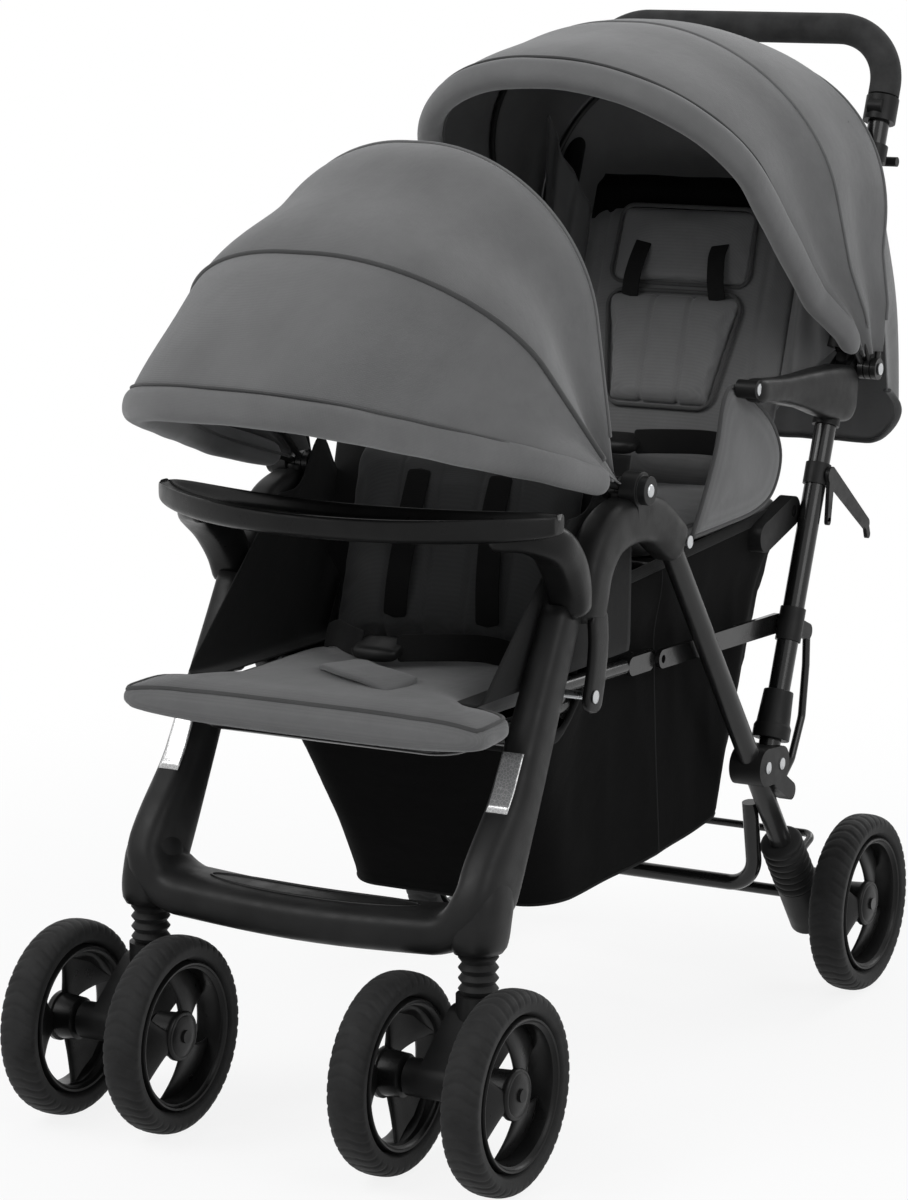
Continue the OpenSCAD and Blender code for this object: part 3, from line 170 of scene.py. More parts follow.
WHITE = (1, 1, 1, 1)
lamp("key_lamp", -1.6, -2.6, 3.2, 2.2, 72)
lamp("left_lamp", 3.0, -1.0, 2.2, 2.0, 34)
lamp("back_lamp", 0.6, 3.0, 2.6, 2.0, 40)
world = bpy.data.worlds.new("studio")
scene.world = world
sky = Tree(world)
sky_light = sky.nodes["Background"]
sky_light.inputs["Color"].default_value = (0.9, 0.92, 0.95, 1)
sky_light.inputs["Strength"].default_value = 0.42
backdrop = sky.node("Background", {"Color": WHITE})[0]
sky.finish_with(sky.seen_rays(), sky_light.outputs[0], backdrop, "World Output")

# %% [markdown]
# ## Finishes
# A stroller has few finishes: two kinds of black moulding, gloss paint on tube, soft rubber,
# bright rivets, grey woven cloth and black webbing. Each is a small node tree. Moulded parts get a
# fine spark-eroded grain, and cloth gets a plain weave. On sheets and straps the weave follows the
# piece's own UV map in metres, and on stuffed pads it runs through space. Every tone wanders a
# little, because no real surface is one flat colour.


# %% Material helpers
class Finish(Tree):
    """A material whose constant values are set straight on the shader's sockets."""

    def __init__(self, name, colour, roughness, coords="Object", **sockets):
        self.mat = bpy.data.materials.new(name)
        super().__init__(self.mat)
        self.shader = self.nodes["Principled BSDF"]
        self.shader.inputs["Base Color"].default_value = self.rgba(colour)
        self.shader.inputs["Roughness"].default_value = roughness
        for key, value in sockets.items():
            self.shader.inputs[key.replace("_", " ")].default_value = value
        self.co = self.node("TexCoord", {})[coords]

    @staticmethod
    def rgba(colour):
        """A colour, or a grey from one number, with full cover."""
        return (*(np.ones(3) * colour).tolist(), 1)

    def noise(self, scale, detail=3.0, rough=0.5):
        """Cloudy noise, with scale in waves per metre."""
        values = {"Vector": self.co, "Scale": scale, "Detail": detail, "Roughness": rough}
        return self.node("TexNoise", values)["Fac"]

    def spread(self, source, low, high):
        """Maps a factor that runs from about 0.3 to 0.7 onto low to high."""
        values = {"From Min": 0.3, "From Max": 0.7, "To Min": low, "To Max": high}
        return self.node("MapRange", {"Value": source, **values})["Result"]

    def tone(self, factor, dark, light):
        """Mixes two tones of one colour into the shader's base colour."""
        values = {"Factor": factor, "A": self.rgba(dark), "B": self.rgba(light)}
        mixed = self.node("Mix", values, data_type="RGBA")["Result"]
        self.link(mixed, self.shader.inputs["Base Color"])

    def gloss(self, cloud, low, high):
        """Lets the roughness wander from low to high."""
        self.link(self.spread(cloud, low, high), self.shader.inputs["Roughness"])

    def bump(self, height, strength, distance, **under):
        """A bump from a height. Normal=, if given, is an earlier bump that it is laid over."""
        values = {"Strength": strength, "Distance": distance, "Height": height, **under}
        normal = self.node("Bump", values)["Normal"]
        self.link(normal, self.shader.inputs["Normal"])
        return normal


# %% Moulded plastic, paint, rubber, metal and cloth
def moulding(name, grey, roughness, grain):
    """Black moulded plastic: a fine even grain, and a tone and gloss that wander slightly."""
    f = Finish(name, grey, roughness, Specular_IOR_Level=0.15)
    f.tone(f.spread(f.noise(26, 4), 0, 1), grey * 0.75, grey * 1.3)
    f.gloss(f.noise(60), roughness - 0.06, roughness + 0.08)
    f.bump(f.noise(grain, 2, 0.6), 0.25, 0.0004)
    return f.mat


def gloss_paint(name, grey, roughness):
    """Powder paint on tube: smooth, with a faint orange peel."""
    coat = {"Coat_Weight": 0.2, "Coat_Roughness": 0.08}
    f = Finish(name, grey, roughness, Specular_IOR_Level=0.25, **coat)
    f.gloss(f.noise(40, 4), roughness - 0.05, roughness + 0.1)
    f.bump(f.noise(420, 2), 0.08, 0.0004)
    return f.mat


def rubber(name, grey, roughness, pore):
    """Matt rubber or foam: a soft pored surface with a dusty sheen."""
    sheen = {"Sheen_Weight": 0.04, "Sheen_Roughness": 0.5}
    f = Finish(name, grey, roughness, Specular_IOR_Level=0.16, **sheen)
    f.tone(f.spread(f.noise(45, 5, 0.6), 0, 1), grey * 0.7, grey * 1.4)
    f.bump(f.noise(pore, 3, 0.7), 0.35, 0.0005)
    return f.mat


def bright_metal(name, colour, roughness):
    """Plated steel with fine scuffs in its gloss."""
    f = Finish(name, colour, roughness, Metallic=1.0)
    f.gloss(f.noise(300, 5, 0.6), roughness - 0.08, roughness + 0.14)
    f.bump(f.noise(700, 2), 0.06, 0.0002)
    return f.mat


def cell_foil(name):
    """Reflecting strip: a honeycomb of tiny cells under clear film."""
    f = Finish(name, 0.6, 0.25, Metallic=0.6, Coat_Weight=0.6)
    cells = f.node("TexVoronoi", {"Vector": f.co, "Scale": 330}, feature="DISTANCE_TO_EDGE")
    f.tone(f.math("LESS_THAN", cells["Distance"], 0.06), 0.38, 0.62)
    f.bump(cells["Distance"], 0.3, 0.0004)
    return f.mat


def cloth(name, grey, pitch, coords, fuzz=0.3, shine=0.25):
    """Plain weave: warp and weft waves a pitch apart, thick and thin threads, and soft mottling."""
    sheen = {"Sheen_Weight": fuzz, "Sheen_Roughness": 0.45}
    f = Finish(name, grey, 0.88, coords, Specular_IOR_Level=shine, **sheen)
    wave = {"Vector": f.co, "Scale": 0.314 / pitch, "Distortion": 0.6, "Detail Scale": 2.0}
    axes = "XY" if coords == "UV" else "XYZ"
    waves = [f.node("TexWave", wave, bands_direction=axis)["Fac"] for axis in axes]
    weave = f.math("MULTIPLY", waves[0], waves[1])
    if len(waves) == 3:
        weave = f.math("ADD", weave, f.math("MULTIPLY", waves[2], 0.35))
    mottling = f.spread(f.noise(14, 5, 0.6), 0.1, 0.6)
    threads = f.math("MULTIPLY", weave, 0.35)
    f.tone(f.math("ADD", threads, mottling), grey * 0.78, grey * 1.2)
    folds = f.bump(f.noise(38, 4, 0.55), 0.22, 0.004)
    f.bump(weave, 0.3, pitch / 3, Normal=folds)
    return f.mat


WEAVE, WEBBING_WEAVE, PIPING_WEAVE = 0.0012, 0.0016, 0.0010  # metres between threads
BLACK = moulding("black_moulding", 0.011, 0.42, 900)
DARK = moulding("smooth_moulding", 0.007, 0.32, 500)
PAINT = gloss_paint("black_tube_paint", 0.008, 0.2)
TUBE = gloss_paint("satin_tube_paint", 0.013, 0.38)
TYRE = rubber("tyre_rubber", 0.014, 0.66, 700)
BOOT = rubber("boot_rubber", 0.014, 0.6, 500)
FOAM = rubber("grip_foam", 0.032, 0.86, 1500)
STEEL = bright_metal("plated_steel", (0.52, 0.53, 0.54), 0.3)
WIRE = gloss_paint("bow_wire_paint", 0.010, 0.45)
FOIL = cell_foil("reflecting_foil")
GREY = cloth("grey_cloth", 0.138, WEAVE, "UV")
PAD = cloth("grey_pad_cloth", 0.130, WEAVE, "Object")
LIGHT = cloth("light_pad_cloth", 0.165, WEAVE, "Object")
# Painted shade: a darker grey for the inside face of both canopies, for the shade under the cover.
PAINTED_CANOPY_SHADE = cloth("canopy_inside_painted_shade", 0.095, WEAVE, "UV", 0.1)
# Near-black gusset cloth: partly its own dark colour, partly painted shade under the front canopy.
GUSSET_AND_SHADE = cloth("gusset_and_painted_shade_cloth", 0.016, WEAVE, "UV", 0.05, 0.15)
# Painted shade: the front back pad is darkened for the shade of the front canopy over it.
SHADED_BACK_PAD = cloth("back_pad_cloth", 0.062, WEAVE, "Object", 0.15)
PIPING = cloth("piping_cloth", 0.060, PIPING_WEAVE, "UV", 0.2)
LINING = cloth("basket_cloth", 0.0045, WEAVE, "UV", 0.01, 0.05)
WEB = cloth("black_webbing", 0.008, WEBBING_WEAVE, "UV", 0.05, 0.15)
print("finishes:", len(bpy.data.materials))

# %% [markdown]
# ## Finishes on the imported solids
# Tubes, rivets, wires and springs have their real shape already, so they only change finish. The
# softer and rounder pieces are rebuilt further down.

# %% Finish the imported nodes
node_finish = {
    PAINT: "rear_crossbar uprights handle_tubes brake_bar rear_axle rear_seat_frame"
    " front_seat_frame rear_back_frame front_back_frame link_front link_rear lock_levers"
    " caster_stem_left caster_stem_right",
    TUBE: "rear_legs",
    STEEL: "frame_rivets pivot_rivets",
    WIRE: "rear_bow rear_mid_bow rear_roll_bow front_bow front_mid_bow front_roll_bow",
    BOOT: "caster_boots",
    FOAM: "handle_grip",
}
for node in frame["nodes"].values():
    node.data.materials.clear()
    node.data.materials.append(BLACK)
for mat, names in node_finish.items():
    for name in names.split():
        frame["nodes"][name].data.materials[0] = mat

# %% [markdown]
# ## Grids, tubes and rounded edges
# Three helpers do most of the making. A grid of points becomes a sheet of quads with a UV map in
# metres. A closed profile carried along a path becomes a tube. A moulded bracket keeps the packed
# outline, and a bevel takes the sharpness off its edges, as a mould's radius does.


# %% Make a mesh from a grid
def grid_piece(name, points, mat, wrap_rows=False, wrap_cols=False, weld=True):
    """Quads between neighbouring points of a (rows, cols, 3) array, with UV as length in metres."""
    rows, cols = points.shape[:2]
    index = np.arange(rows * cols).reshape(rows, cols)
    if wrap_rows:
        index = np.vstack([index, index[:1]])
    if wrap_cols:
        index = np.hstack([index, index[:, :1]])
    flat = points.reshape(-1, 3)
    quads = np.stack([index[:-1, :-1], index[:-1, 1:], index[1:, 1:], index[1:, :-1]], -1)
    full = flat[index]
    u = np.insert(np.cumsum(np.linalg.norm(np.diff(full, axis=1), axis=2).mean(0)), 0, 0)
    v = np.insert(np.cumsum(np.linalg.norm(np.diff(full, axis=0), axis=2).mean(1)), 0, 0)
    uv = np.stack(np.meshgrid(u, v), -1)
    corner = np.stack([uv[:-1, :-1], uv[:-1, 1:], uv[1:, 1:], uv[1:, :-1]], 2).reshape(-1, 2)
    mesh = bpy.data.meshes.new(name)
    mesh.from_pydata(flat.tolist(), [], quads.reshape(-1, 4).tolist())
    mesh.uv_layers.new(name="UVMap").data.foreach_set("uv", corner.ravel().astype(np.float32))
    if weld:
        bm = bmesh.new()
        bm.from_mesh(mesh)
        bmesh.ops.remove_doubles(bm, verts=bm.verts, dist=1e-6)
        bmesh.ops.dissolve_degenerate(bm, edges=bm.edges, dist=1e-7)
        bmesh.ops.recalc_face_normals(bm, faces=bm.faces)
        bm.to_mesh(mesh)
        bm.free()
    mesh.shade_smooth()
    mesh.materials.append(mat)
    piece = bpy.data.objects.new(name, mesh)
    scene.collection.objects.link(piece)
    return piece


def thicken(piece, thickness):
    """A wall of cloth: the sheet becomes a closed shell, half of it on each side."""
    m = piece.modifiers.new("wall", "SOLIDIFY")
    m.thickness, m.offset, m.use_even_offset = thickness, 0, True
    return piece


def smooth_more(piece):
    """One more subdivision, the same in the viewport and in the render."""
    m = piece.modifiers.new("smooth", "SUBSURF")
    m.levels = m.render_levels = 1
    return piece


def bake(piece):
    """Applies the modifiers, so that the mesh is final."""
    bpy.context.view_layer.update()
    depsgraph = bpy.context.evaluated_depsgraph_get()
    done = bpy.data.meshes.new_from_object(piece.evaluated_get(depsgraph))
    piece.modifiers.clear()
    piece.data = done
    return piece


def cloth_piece(name, points, mat, thickness=0.0014, **wrap):
    """A finished sheet of cloth with a thickness in metres."""
    return bake(thicken(grid_piece(name, points, mat, **wrap), thickness))


def coordinates(mesh, kind="co"):
    """A row for each point of a mesh: its place, or with kind "normal" its normal."""
    flat = np.empty(len(mesh.vertices) * 3)
    mesh.vertices.foreach_get(kind, flat)
    return flat.reshape(-1, 3)


# %% Book a finished piece
def body_of(node):
    """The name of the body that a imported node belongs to."""
    return next(b for b, nodes in frame["record"]["behaviour"]["bodies"].items() if node in nodes)


def book(piece, slot, body, *nodes):
    """Says which solids a piece stands for and which body it rides. Slot, what it is made of, is not used."""
    if nodes:
        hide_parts(*nodes)
    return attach(piece, body)


def trim(piece, body):
    """Books a cloth piece that stands for no solid: a seam, piping, a strap or a panel."""
    return book(piece, "fabric", body)


def soft_piece(piece, body, *nodes):
    """Books a stuffed piece."""
    return book(piece, "fabric", body, *nodes)


# %% Carry a profile along a path
def sweep(path, profile, side_axis):
    """Points of a profile (cols, 2) or (rows, cols, 2) along a path (rows, 3). The first profile
    coordinate runs along side_axis, made square to the path, and the second along their cross."""
    t = np.gradient(path, axis=0)
    t /= np.linalg.norm(t, axis=1, keepdims=True)
    a = np.broadcast_to(np.asarray(side_axis, float), t.shape)
    a = a - (a * t).sum(1, keepdims=True) * t
    a /= np.linalg.norm(a, axis=1, keepdims=True)
    b = np.cross(t, a)
    profile = np.broadcast_to(profile, (len(path),) + np.shape(profile)[-2:])
    return path[:, None] + profile[..., :1] * a[:, None] + profile[..., 1:] * b[:, None]


def capped(points):
    """Closes a tube's ends with a point in the middle of each end ring."""
    first, last = points[:1].mean(1, keepdims=True), points[-1:].mean(1, keepdims=True)
    wide = (1, points.shape[1], 1)
    return np.concatenate([np.tile(first, wide), points, np.tile(last, wide)])


def tube(name, path, profile, mat, side_axis=(1, 0, 0), cap=True):
    """A profile carried along a path. Ends that already close to a point need no cap."""
    points = sweep(path, profile, side_axis)
    return grid_piece(name, capped(points) if cap else points, mat, wrap_cols=True)


def superellipse(half_a, half_b, power, count):
    """A closed rounded outline: powers above 2 are squarer."""
    q = np.linspace(0, 2 * np.pi, count, endpoint=False)
    c, s = np.cos(q), np.sin(q)
    a, b = (np.sign(v) * abs(v) ** (2 / power) for v in (c, s))
    return np.stack([half_a * a, half_b * b], -1)


def sized(outline, wide, tall):
    """The outline of each row, for half widths and half heights in millimetres along a path."""
    parts = [np.multiply.outer(v, o) for v, o in zip((wide, tall), outline.T)]
    return np.stack(parts, -1) / 1000


def cord_along(name, path, radius, mat, side_axis):
    """A round cord of a radius in millimetres along a path: piping on a seam, or a bound edge."""
    return tube(name, path, superellipse(radius, radius, 2, 10) / 1000, mat, side_axis)


def rounded_ends(count, share):
    """A size factor along a path that closes both ends with a quarter round over a share of it."""
    s = np.linspace(0, 1, count)
    e = np.clip(np.minimum(s, 1 - s) / share, 0, 1)
    return np.sqrt(np.maximum(1 - (1 - e) ** 2, 0))


def even(fine, count):
    """Points evenly spaced by length along a finely drawn line."""
    run = np.insert(np.cumsum(np.linalg.norm(np.diff(fine, axis=0), axis=1)), 0, 0)
    want = np.linspace(0, run[-1], count)
    return np.stack([np.interp(want, run, column) for column in fine.T], -1)


def curve_through(points, count):
    """A smooth path through points: Catmull-Rom pieces sampled evenly by length."""
    p = np.asarray(points, float)
    p = np.vstack([2 * p[0] - p[1], p, 2 * p[-1] - p[-2]])
    t = np.linspace(0, 1, 40, endpoint=False)[:, None, None]
    a, b, c, d = p[:-3], p[1:-2], p[2:-1], p[3:]
    fine = 0.5 * (
        2 * b + (c - a) * t + (2 * a - 5 * b + 4 * c - d) * t**2 + (3 * b - a - 3 * c + d) * t**3
    )
    fine = np.vstack([fine.transpose(1, 0, 2).reshape(-1, p.shape[1]), p[-2:-1]])
    return even(fine, count)


# %% Round the edges of a packed moulding
def softened(node, width):
    """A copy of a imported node: doubles merged, flat faces joined, a bevel on its sharp edges."""
    flat_angle, sharp_angle = math.radians(0.6), math.radians(40)
    name = node + "_moulded"
    mesh = frame["nodes"][node].data.copy()
    mesh.name = name
    bm = bmesh.new()
    bm.from_mesh(mesh)
    bmesh.ops.remove_doubles(bm, verts=bm.verts, dist=2e-6)
    bmesh.ops.dissolve_limit(bm, angle_limit=flat_angle, verts=bm.verts, edges=bm.edges)
    bm.to_mesh(mesh)
    bm.free()
    mesh.materials.clear()
    mesh.materials.append(BLACK)
    piece = bpy.data.objects.new(name, mesh)
    scene.collection.objects.link(piece)
    m = piece.modifiers.new("mould_radius", "BEVEL")
    m.width, m.segments = width, 3
    m.limit_method, m.angle_limit = "ANGLE", sharp_angle
    m.use_clamp_overlap, m.harden_normals = True, False
    mesh.shade_smooth()
    w = piece.modifiers.new("even_shading", "WEIGHTED_NORMAL")
    w.keep_sharp = False
    return book(piece, "moulding", body_of(node), node)


mould_edges = {
    "canopy_knobs": 0.003, "armrests": 0.0028, "hub_sockets": 0.003, "upright_clamps": 0.0015,
    "seat_brackets": 0.002, "lock_sleeves": 0.0012, "storage_hook": 0.0009,
    "hinge_knuckles": 0.0015, "release_collars": 0.002, "rear_carriers": 0.003,
    "caster_fork_left": 0.003, "caster_fork_right": 0.003,
}
for name, width in mould_edges.items():
    softened(name, width)
print("rounded mouldings:", len(mould_edges))

# %% [markdown]
# ## Wheels
# Each wheel is a tyre with slanted tread strokes on a deep black rim. The rim has three blades
# that fan out from a round hub cap, so one sees through it. The tyre is a surface of revolution:
# one angle runs round the axle, the other round the rubber's cross section, and the tread is cut
# as a wave that leans with the distance from the middle line.


# %% Wheel helpers
def join(name, pieces):
    """One object from several, with their finishes kept."""
    mats, runs, bm = [], [], bmesh.new()
    for p in pieces:
        before = len(bm.faces)
        bm.from_mesh(p.data)
        mat = p.data.materials[0]
        if mat not in mats:
            mats.append(mat)
        runs.append((mats.index(mat), len(bm.faces) - before))
        bpy.data.objects.remove(p)
    mesh = bpy.data.meshes.new(name)
    bm.to_mesh(mesh)
    bm.free()
    for mat in mats:
        mesh.materials.append(mat)
    mesh.polygons.foreach_set("material_index", np.repeat(*np.array(runs).T).astype(np.int32))
    mesh.shade_smooth()
    piece = bpy.data.objects.new(name, mesh)
    scene.collection.objects.link(piece)
    return piece


def step_up(x, low, high):
    """Smooth step from 0 at low to 1 at high."""
    e = np.clip((x - low) / (high - low), 0, 1)
    return e * e * (3 - 2 * e)


def spun(name, centre, outline, mat, count=72, closed=False):
    """Turns an outline of (along the axle, radius) in millimetres round a crosswise axle."""
    q = np.linspace(0, 2 * np.pi, count, endpoint=False)[:, None]
    along, radius = np.asarray(outline, float).T
    points = np.stack(
        [along + 0 * q, radius * np.sin(q), radius * np.cos(q)], -1
    ) / 1000 + np.asarray(centre)
    return grid_piece(name, points, mat, wrap_rows=True, wrap_cols=closed)


TYRE_R, TYRE_HALF, RIM_R = 90.0, 18.0, 68.0
STROKES, STROKE_LEAN, TREAD = 48, 0.85, 0.7
BLADES, BLADE_IN, BLADE_OUT = 3, 14, 62


def make_tyre(name, centre):
    """Cross section: a squarish ring of rubber. Tread: strokes that lean with the distance from the
    middle line, deepest on the crown and fading out on the side wall."""
    turn = np.linspace(0, 2 * np.pi, 480, endpoint=False)[:, None]
    ring = superellipse(1, 1, 2.5, 44)
    mid, half = (TYRE_R + RIM_R) / 2, (TYRE_R - RIM_R) / 2
    lean = np.abs(ring[:, 0])
    crown = step_up(ring[:, 1], -0.1, 0.35) * step_up(lean, 0.1, 0.2)
    wave = np.abs((STROKES * turn / (2 * np.pi) + STROKE_LEAN * lean) % 1 - 0.5) * 2
    depth = TREAD * crown * step_up(wave, 0.6, 0.82)
    rim_step = 0.7 * step_up(lean, 0.9, 0.99) * step_up(-ring[:, 1], -0.1, 0.1)
    across = TYRE_HALF * ring[:, 0] - np.sign(ring[:, 0]) * (0.45 * depth + rim_step)
    out = mid + half * ring[:, 1] - depth
    points = np.stack([across + 0 * turn, out * np.sin(turn), out * np.cos(turn)], -1)
    return grid_piece(name, points / 1000 + centre, TYRE, wrap_rows=True, wrap_cols=True)


def make_rim(name, centre, out):
    """A dished ring, a hub with a domed cap, and three blades that widen towards the ring."""
    ring = [
        (-15, 67.7), (15, 67.7), (16.6, 66.6), (16, 64.8), (13.5, 63.6), (12.5, 61.6), (8, 60.4),
        (-8, 60.4), (-12.5, 61.6), (-13.5, 63.6), (-16, 64.8), (-16.6, 66.6),
    ]
    hub = [(-14, 0), (-14, 15), (-12.5, 17), (6, 18), (7, 20), (11, 20), (12.6, 19), (13.2, 17.2),
           (12.8, 16.4), (13.6, 15.6), (14.6, 9), (15, 0)]
    hub = np.array(hub) * [out, 1.15]
    parts = [spun("ring", centre, ring, DARK, 96, True), spun("hub", centre, hub, DARK)]
    r = np.linspace(BLADE_IN, BLADE_OUT, 16)[:, None]
    loop = superellipse(1, 1, 3.2, 28)
    grow = (r - BLADE_IN) / (BLADE_OUT - BLADE_IN)
    wide = 0.44 + 0.28 * grow
    along = out * (8.5 - 13 * grow**1.4 + 3.2 * loop[:, 1] - 3 * loop[:, 0] * grow)
    for k in range(BLADES):
        turn = wide * loop[:, 0] + k * 2 * np.pi / BLADES + 0.5
        blade = np.stack([along, r * np.sin(turn), r * np.cos(turn)], -1) / 1000 + centre
        parts.append(grid_piece("blade", capped(blade), DARK, wrap_cols=True))
    rim = join(name, parts)
    e = rim.modifiers.new("edges", "EDGE_SPLIT")
    e.split_angle = math.radians(42)
    return rim


wheel_x = {
    "front_wheel_left_outer": 228, "front_wheel_left_inner": 116, "front_wheel_right_outer": -228,
    "front_wheel_right_inner": -116, "rear_wheel_left": 236, "rear_wheel_right": -236,
}
for name, x in wheel_x.items():
    low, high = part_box(name)
    centre = np.array([x / 1000, (low.y + high.y) / 2, (low.z + high.z) / 2])
    inward = "inner" in name
    for piece in (
        make_tyre(name + "_tyre", centre),
        make_rim(name + "_rim", centre, math.copysign(1, x) * (-1 if inward else 1)),
    ):
        book(piece, "wheel", body_of(name), name)
print("wheels:", len(wheel_x))

# %% Rear boots
RIBS, VALLEY_R, RIB_DEPTH = 7, 17.5, 4.5
BOOT_AT, BOOT_HALF = (643.5, 131.4), (20.5, -26.5)
s = np.linspace(-1, 1, 110)
round_rib = np.sqrt(np.abs(np.sin(RIBS / 2 * np.pi * (s + 1))))
size = (VALLEY_R + RIB_DEPTH * round_rib) * rounded_ends(len(s), 0.03)
face = sized(superellipse(1, 1, 2, 40), size, size)
line = BOOT_AT + np.multiply.outer(s, BOOT_HALF)
boots = join("rear_boot_bellows", [
    tube("boot", place(side * SIDE_X, *line.T), face, BOOT, cap=False) for side in SIDES
])
book(boots, "boot", body_of("rear_boots"), "rear_boots")
print("rear boots:", len(boots.data.vertices), "vertices")

# %% [markdown]
# ## Front leg frame
# The two front legs and the footrest bar are one moulding. Its outline is a U that leans back with
# the legs, so one rounded profile is carried along that U: taller than wide at the legs, and flat
# and deep at the bar, where small feet stand. Boss tubes under the corners take the caster
# springs.

# %% Front leg frame
LEG_TOP, LEG_LOW = np.array([128.0, 452.0]), np.array([6.0, 231.0])
LEG_RUN, CORNER_R, BAR_Z, BAR_SAG = 300.0, 46.0, 208, 5
lean_dir = (LEG_TOP - LEG_LOW) / np.linalg.norm(LEG_TOP - LEG_LOW)


def leaning(x, up):
    """A place in the leaning plane of the legs, up millimetres along them from the footrest."""
    return place(x, LEG_LOW[0] + lean_dir[0] * up, BAR_Z + lean_dir[1] * up)


def leg_depth(up):
    """Half the leg's depth: full at the footrest corner, slimmer upwards."""
    return 35 - 11 * step_up(up, 40, 130) - 4 * step_up(up, 130, LEG_RUN)


def leg_shift(up):
    """How far the foot of the leg bulges forward, to hold the caster stem."""
    return 10 * (1 - step_up(up, 30, 130)) * step_up(up, 0, 30)


def bar_sag(x):
    """How far the footrest bar hangs below its ends."""
    return BAR_SAG * np.cos(np.clip(x / (SIDE_X - CORNER_R), -1, 1) * np.pi / 2)


corner = np.linspace(0, np.pi / 2, 14)
half_u = np.vstack([
    np.stack([np.linspace(0, SIDE_X - CORNER_R, 20), np.zeros(20)], -1)[:-1],
    np.stack([SIDE_X - CORNER_R * (1 - np.sin(corner)), CORNER_R * (1 - np.cos(corner))], -1),
    np.stack([np.full(24, SIDE_X), np.linspace(CORNER_R, LEG_RUN, 24)], -1)[1:],
])
u_line = np.vstack([half_u[:0:-1] * [-1, 1], half_u])
leg_share = step_up(u_line[:, 1], 2, 70)
path = leaning(u_line[:, 0], u_line[:, 1] - bar_sag(u_line[:, 0]))
path[:, 1] -= leg_shift(u_line[:, 1]) / 1000
half_in = 20 - 5 * step_up(u_line[:, 1], 40, LEG_RUN)
profile = sized(superellipse(1, 1, 3.0, 40), leg_depth(u_line[:, 1]), half_in)
flat_bar = np.array([0, 1.0, 0])
square_leg = np.array([0, lean_dir[1], -lean_dir[0]])
deep_dir = flat_bar + (square_leg - flat_bar) * leg_share[:, None]
BOSS_LOW, BOSS_HIGH, BOSS_LEAN = 194, 270, 22
rise = np.linspace(0, 1, 16)
fade = (rounded_ends(16, 0.3) * 0.2 + 0.8 - 0.25 * step_up(rise, 0.5, 1))[:, None, None]
boss = superellipse(0.0235, 0.030, 2.5, 36) * fade
boss_y, boss_z = BOSS_LEAN * rise**1.5, BOSS_LOW + (BOSS_HIGH - BOSS_LOW) * rise
legs = join("front_leg_frame", [tube("u_frame", path, profile, BLACK, deep_dir)] + [
    tube("boss", place(side * SIDE_X, boss_y, boss_z), boss, BLACK) for side in SIDES
])
book(legs, "moulding", "front_frame", "front_legs")

# %% Reflector strips
normal = np.array([-lean_dir[1], lean_dir[0]])
STRIP_LOW, STRIP_HIGH, STRIP_PROUD = 104, 160, 0.3
up = np.linspace(STRIP_LOW, STRIP_HIGH, 9)
strips = []
for side in SIDES:
    line = leaning(side * SIDE_X, up)
    line[:, 1] -= leg_shift(up) / 1000
    line[:, 1:] += (leg_depth(up) + STRIP_PROUD)[:, None] * normal / 1000
    strips.append(tube("strip", line, superellipse(0.0105, 0.0012, 5, 20), FOIL))
book(join("reflector_strips", strips), "moulding", "front_frame")

# %% Footrest rim
RIM_HALF_X, RIM_HALF_Y, RIM_Z, SAG_SHARE = 108, 15, 227.6, 0.875
q = np.linspace(0, 2 * np.pi, 120)
rim_x = RIM_HALF_X * np.sign(np.cos(q)) * np.abs(np.cos(q)) ** 0.7
rim_y = RIM_HALF_Y * np.sin(q)
rim_line = place(rim_x, LEG_LOW[0] + rim_y, RIM_Z - SAG_SHARE * bar_sag(rim_x))
book(cord_along("footrest_rim", rim_line, 1.6, DARK, (0, 0, 1)), "moulding", "front_frame")

# %% [markdown]
# ## Arch brackets
# On each side a moulded arch joins the rear leg, the front leg, the tray and the front canopy. It
# is a thick band bent over a round opening. A rounded profile follows the arch's middle line, and
# a flat hanger under its front end carries the link pin.

# %% Arch brackets
BAND_X, HANGER_X, NECK_X = 178, 190, 176
band = [(360, 500), (342, 512), (310, 531), (266, 539), (222, 531), (196, 507), (186, 480)]
band = curve_through(band + [(178, 456)], 70)
hanger = curve_through([(184, 470), (187, 440), (182, 408), (172, 376)], 40)
neck = curve_through([(266, 530), (264, 556), (263, 567)], 16)
size = rounded_ends(len(band), 0.05)
tall = 20 + 3 * np.sin(np.pi * np.linspace(0, 1, len(band)))
band_face = sized(superellipse(1, 1, 3.4, 40), 17 * size, tall * size)
hanger_face = superellipse(0.0045, 0.015, 4, 24) * rounded_ends(len(hanger), 0.12)[:, None, None]
neck_face = superellipse(0.012, 0.014, 3, 24)
arches = join("arch_bracket_bands", [
    tube(name, place(side * x, *line.T), face, mat, cap=name == "neck")
    for side in SIDES
    for name, x, line, face, mat in (
        ("band", BAND_X, band, band_face, BLACK),
        ("hanger", HANGER_X, hanger, hanger_face, DARK),
        ("neck", NECK_X, neck, neck_face, BLACK),
    )
])
book(arches, "moulding", body_of("arch_brackets"), "arch_brackets")
print("arch bands:", len(arches.data.vertices), "vertices")

# %% [markdown]
# ## Armrests
# The armrest is a tapered moulding that grows from a round tip into the sleeve on the upright. The
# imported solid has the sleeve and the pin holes; this fairing gives the arm its full section.

